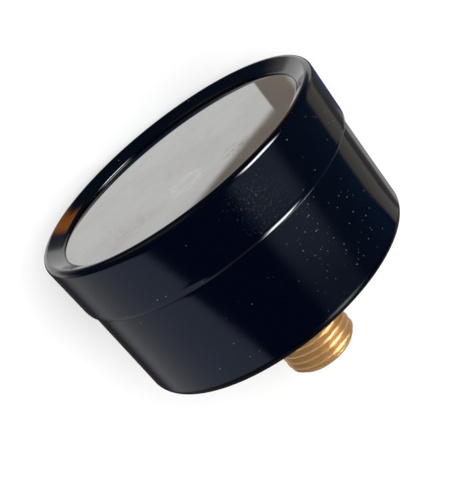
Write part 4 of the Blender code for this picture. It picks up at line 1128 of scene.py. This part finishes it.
# Colours of the room that shiny surfaces see.
DARK_ROOM = (0.008, 0.026, 0.13)
SHADY_SIDE = (0.026, 0.06, 0.15)
PAPER = (0.95, 0.95, 0.95)
SHADED_PAPER = (0.50, 0.50, 0.51)
DIM_PAPER = (0.20, 0.205, 0.215)
FAR_PAPER = (0.34, 0.34, 0.35)
FRONT_ROOM = (0.026, 0.052, 0.105)
FRONT_WALL = (0.34, 0.31, 0.29)
UNDERSIDE = (0.058, 0.048, 0.050)
TABLE = (0.30, 0.26, 0.22)
TABLE_EDGE = (0.11, 0.105, 0.10)
WALL = (0.36, 0.345, 0.30)
WINDOW_LIGHT = (0.50, 0.515, 0.57)
EVENING_SKY = (0.42, 0.50, 0.76)
FAR_ROOM = (0.35, 0.47, 0.66)
LAMP = (24.0, 24.5, 25.5)
WOOD = (1.9, 0.58, 0.12)
WOOD_DIRECTION = (-0.250, -0.630, -0.735)
DEGREE = math.pi / 180


class Room(Graph):
    """What shiny surfaces see around them: a dark room with a pale table and a few lights.

    Directions are told apart by their angle around the gauge's axis, with 90 degrees straight up,
    and by how far they point backwards along it.
    """

    def __init__(self, tree):
        super().__init__(tree)
        self.direction = self.add("ShaderNodeTexCoord").outputs["Generated"]
        self.right, self.back, self.up = self.components(self.direction)
        self.turn = self.math("DIVIDE", self.math("ARCTAN2", self.up, self.right), DEGREE)
        self.color = self.mix(0.0, DARK_ROOM, DARK_ROOM)

    def between(self, value, low, high, soft):
        """1 between two values, with soft edges."""
        rise = self.ramp(value, low - soft, low + soft)
        fall = self.ramp(value, high - soft, high + soft, 1.0, 0.0)
        return self.times(rise, fall)

    def sector(self, low, high, soft):
        """1 between two angles around the axis."""
        return self.between(self.turn, low, high, soft)

    def belt(self, low, high, soft):
        """1 between two values of how far the direction points backwards."""
        return self.between(self.back, low, high, soft)

    def cover(self, mask, color):
        """Lay a color over what is there."""
        self.color = self.mix(mask, self.color, color)

    def add_sides(self):
        """What the gauge's side sees, with the later layers over the earlier ones."""
        fading = self.ramp(self.back, 0.395, 0.455, 0.75, 0.20)
        slanted = self.math("SUBTRACT", self.turn, self.ramp(self.back, 0.395, 0.430, 0.0, 8.0))
        light = self.mix(self.ramp(self.turn, -30.0, 25.0), WINDOW_LIGHT, EVENING_SKY)
        lit = self.ramp(self.back, 0.325, 0.345, 0.15, 1.0)
        paper = self.mix(self.ramp(self.turn, -118.0, -104.0), SHADED_PAPER, DIM_PAPER)
        layers = (
            (self.sector(-180.0, -158.0, 3.0), SHADY_SIDE),
            (self.ramp(self.turn, 150.0, 158.0), SHADY_SIDE),
            (self.times(fading, self.sector(108.0, 149.0, 8.0)), FAR_ROOM),
            (self.between(slanted, -158.0, -136.0, 2.5), WALL),
            (self.between(slanted, -136.0, -122.0, 4.0), TABLE_EDGE),
            (self.sector(-92.0, -38.0, 5.0), UNDERSIDE),
            (self.evening_window(), light),
            (self.times(lit, self.sector(-122.0, -86.0, 4.0)), paper),
        )
        beside = self.ramp(self.back, -0.15, 0.15)
        for mask, color in layers:
            self.cover(self.times(beside, mask), color)

    def evening_window(self):
        """The window on the right. It reaches higher in directions that point further back."""
        near = self.math("MINIMUM", self.back, 0.465)
        edge = self.math("ADD", self.times(near, -210.0), self.turn)
        return self.times(self.ramp(self.turn, -57.0, -34.0), self.ramp(edge, -46.8, -39.8, 1.0, 0.0))

    def add_front(self):
        """In front of the gauge lies the paper. Beyond its corner the brown table shows."""
        down = self.times(self.up, -1.0)
        along = self.math("DIVIDE", self.right, down)
        ahead = self.math("DIVIDE", self.back, down)
        self.cover(self.ramp(self.back, 0.0, -0.2), FRONT_ROOM)
        self.cover(self.times(self.sector(-25.0, 70.0, 14.0), self.belt(-0.95, -0.70, 0.06)), FRONT_WALL)
        far = self.times(self.ramp(self.up, -0.3, -0.5), self.between(ahead, -0.60, 0.015, 0.2))
        self.cover(self.times(far, self.ramp(along, -0.28, -0.12, 0.4, 1.0)), FAR_PAPER)
        front = self.times(self.ramp(self.up, -0.55, -0.65), self.between(ahead, -0.40, 0.015, 0.045))
        self.cover(front, PAPER)
        self.cover(self.times(front, self.past_corner(along, ahead)), TABLE)
        glow = self.dot(self.direction, WOOD_DIRECTION)
        self.cover(self.ramp(glow, 0.990, 0.9998), WOOD)

    def past_corner(self, along, ahead):
        """The part of the table that shows past two edges of the paper."""
        side_edge = self.ramp(along, -0.0945, -0.0925, 1.0, 0.0)
        slant = self.math("ADD", ahead, self.times(along, 0.218))
        near_edge = self.ramp(slant, -0.329, -0.322, 1.0, 0.0)
        beyond = self.math("MAXIMUM", side_edge, near_edge)
        seen = self.between(ahead, -0.35, -0.243, 0.008)
        return self.times(beyond, self.times(seen, self.ramp(along, -0.125, -0.115)))

    def add_lamps(self):
        """One lamp in front and one behind, up on the left, and a faint strip high behind."""
        self.cover(self.times(self.sector(123.0, 154.0, 6.0), self.belt(-0.68, -0.18, 0.06)), LAMP)
        self.cover(self.times(self.sector(112.0, 142.0, 7.0), self.belt(0.60, 0.86, 0.05)), LAMP)
        self.cover(self.times(self.sector(-20.0, 112.0, 8.0), self.belt(0.66, 0.78, 0.03)), FAR_PAPER)


def make_world():
    """Shiny surfaces see the room. Everything else is lit by an even white sky."""
    world = bpy.data.worlds.new("studio")
    bpy.context.scene.world = world
    world.use_nodes = True
    world.cycles.sampling_method = "NONE"
    room = Room(world.node_tree)
    room.add_sides()
    room.add_front()
    room.add_lamps()
    glossy = room.add("ShaderNodeLightPath").outputs["Is Glossy Ray"]
    room.feed(room.nodes["Background"].inputs["Color"], room.mix(glossy, SOFT_WHITE, room.color))


make_bezel()
make_case()
make_window()
make_socket()
make_case_screws()
make_dial_screws()
make_dial()
make_scale()
make_numbers()
make_pointer()
make_hub()
make_stop_pin()
make_bourdon_tube()
make_hairspring()
dress_cad_nodes()
make_camera()
make_floor()
make_world()
make_lamp()
bpy.context.scene.view_settings.view_transform = "Standard"
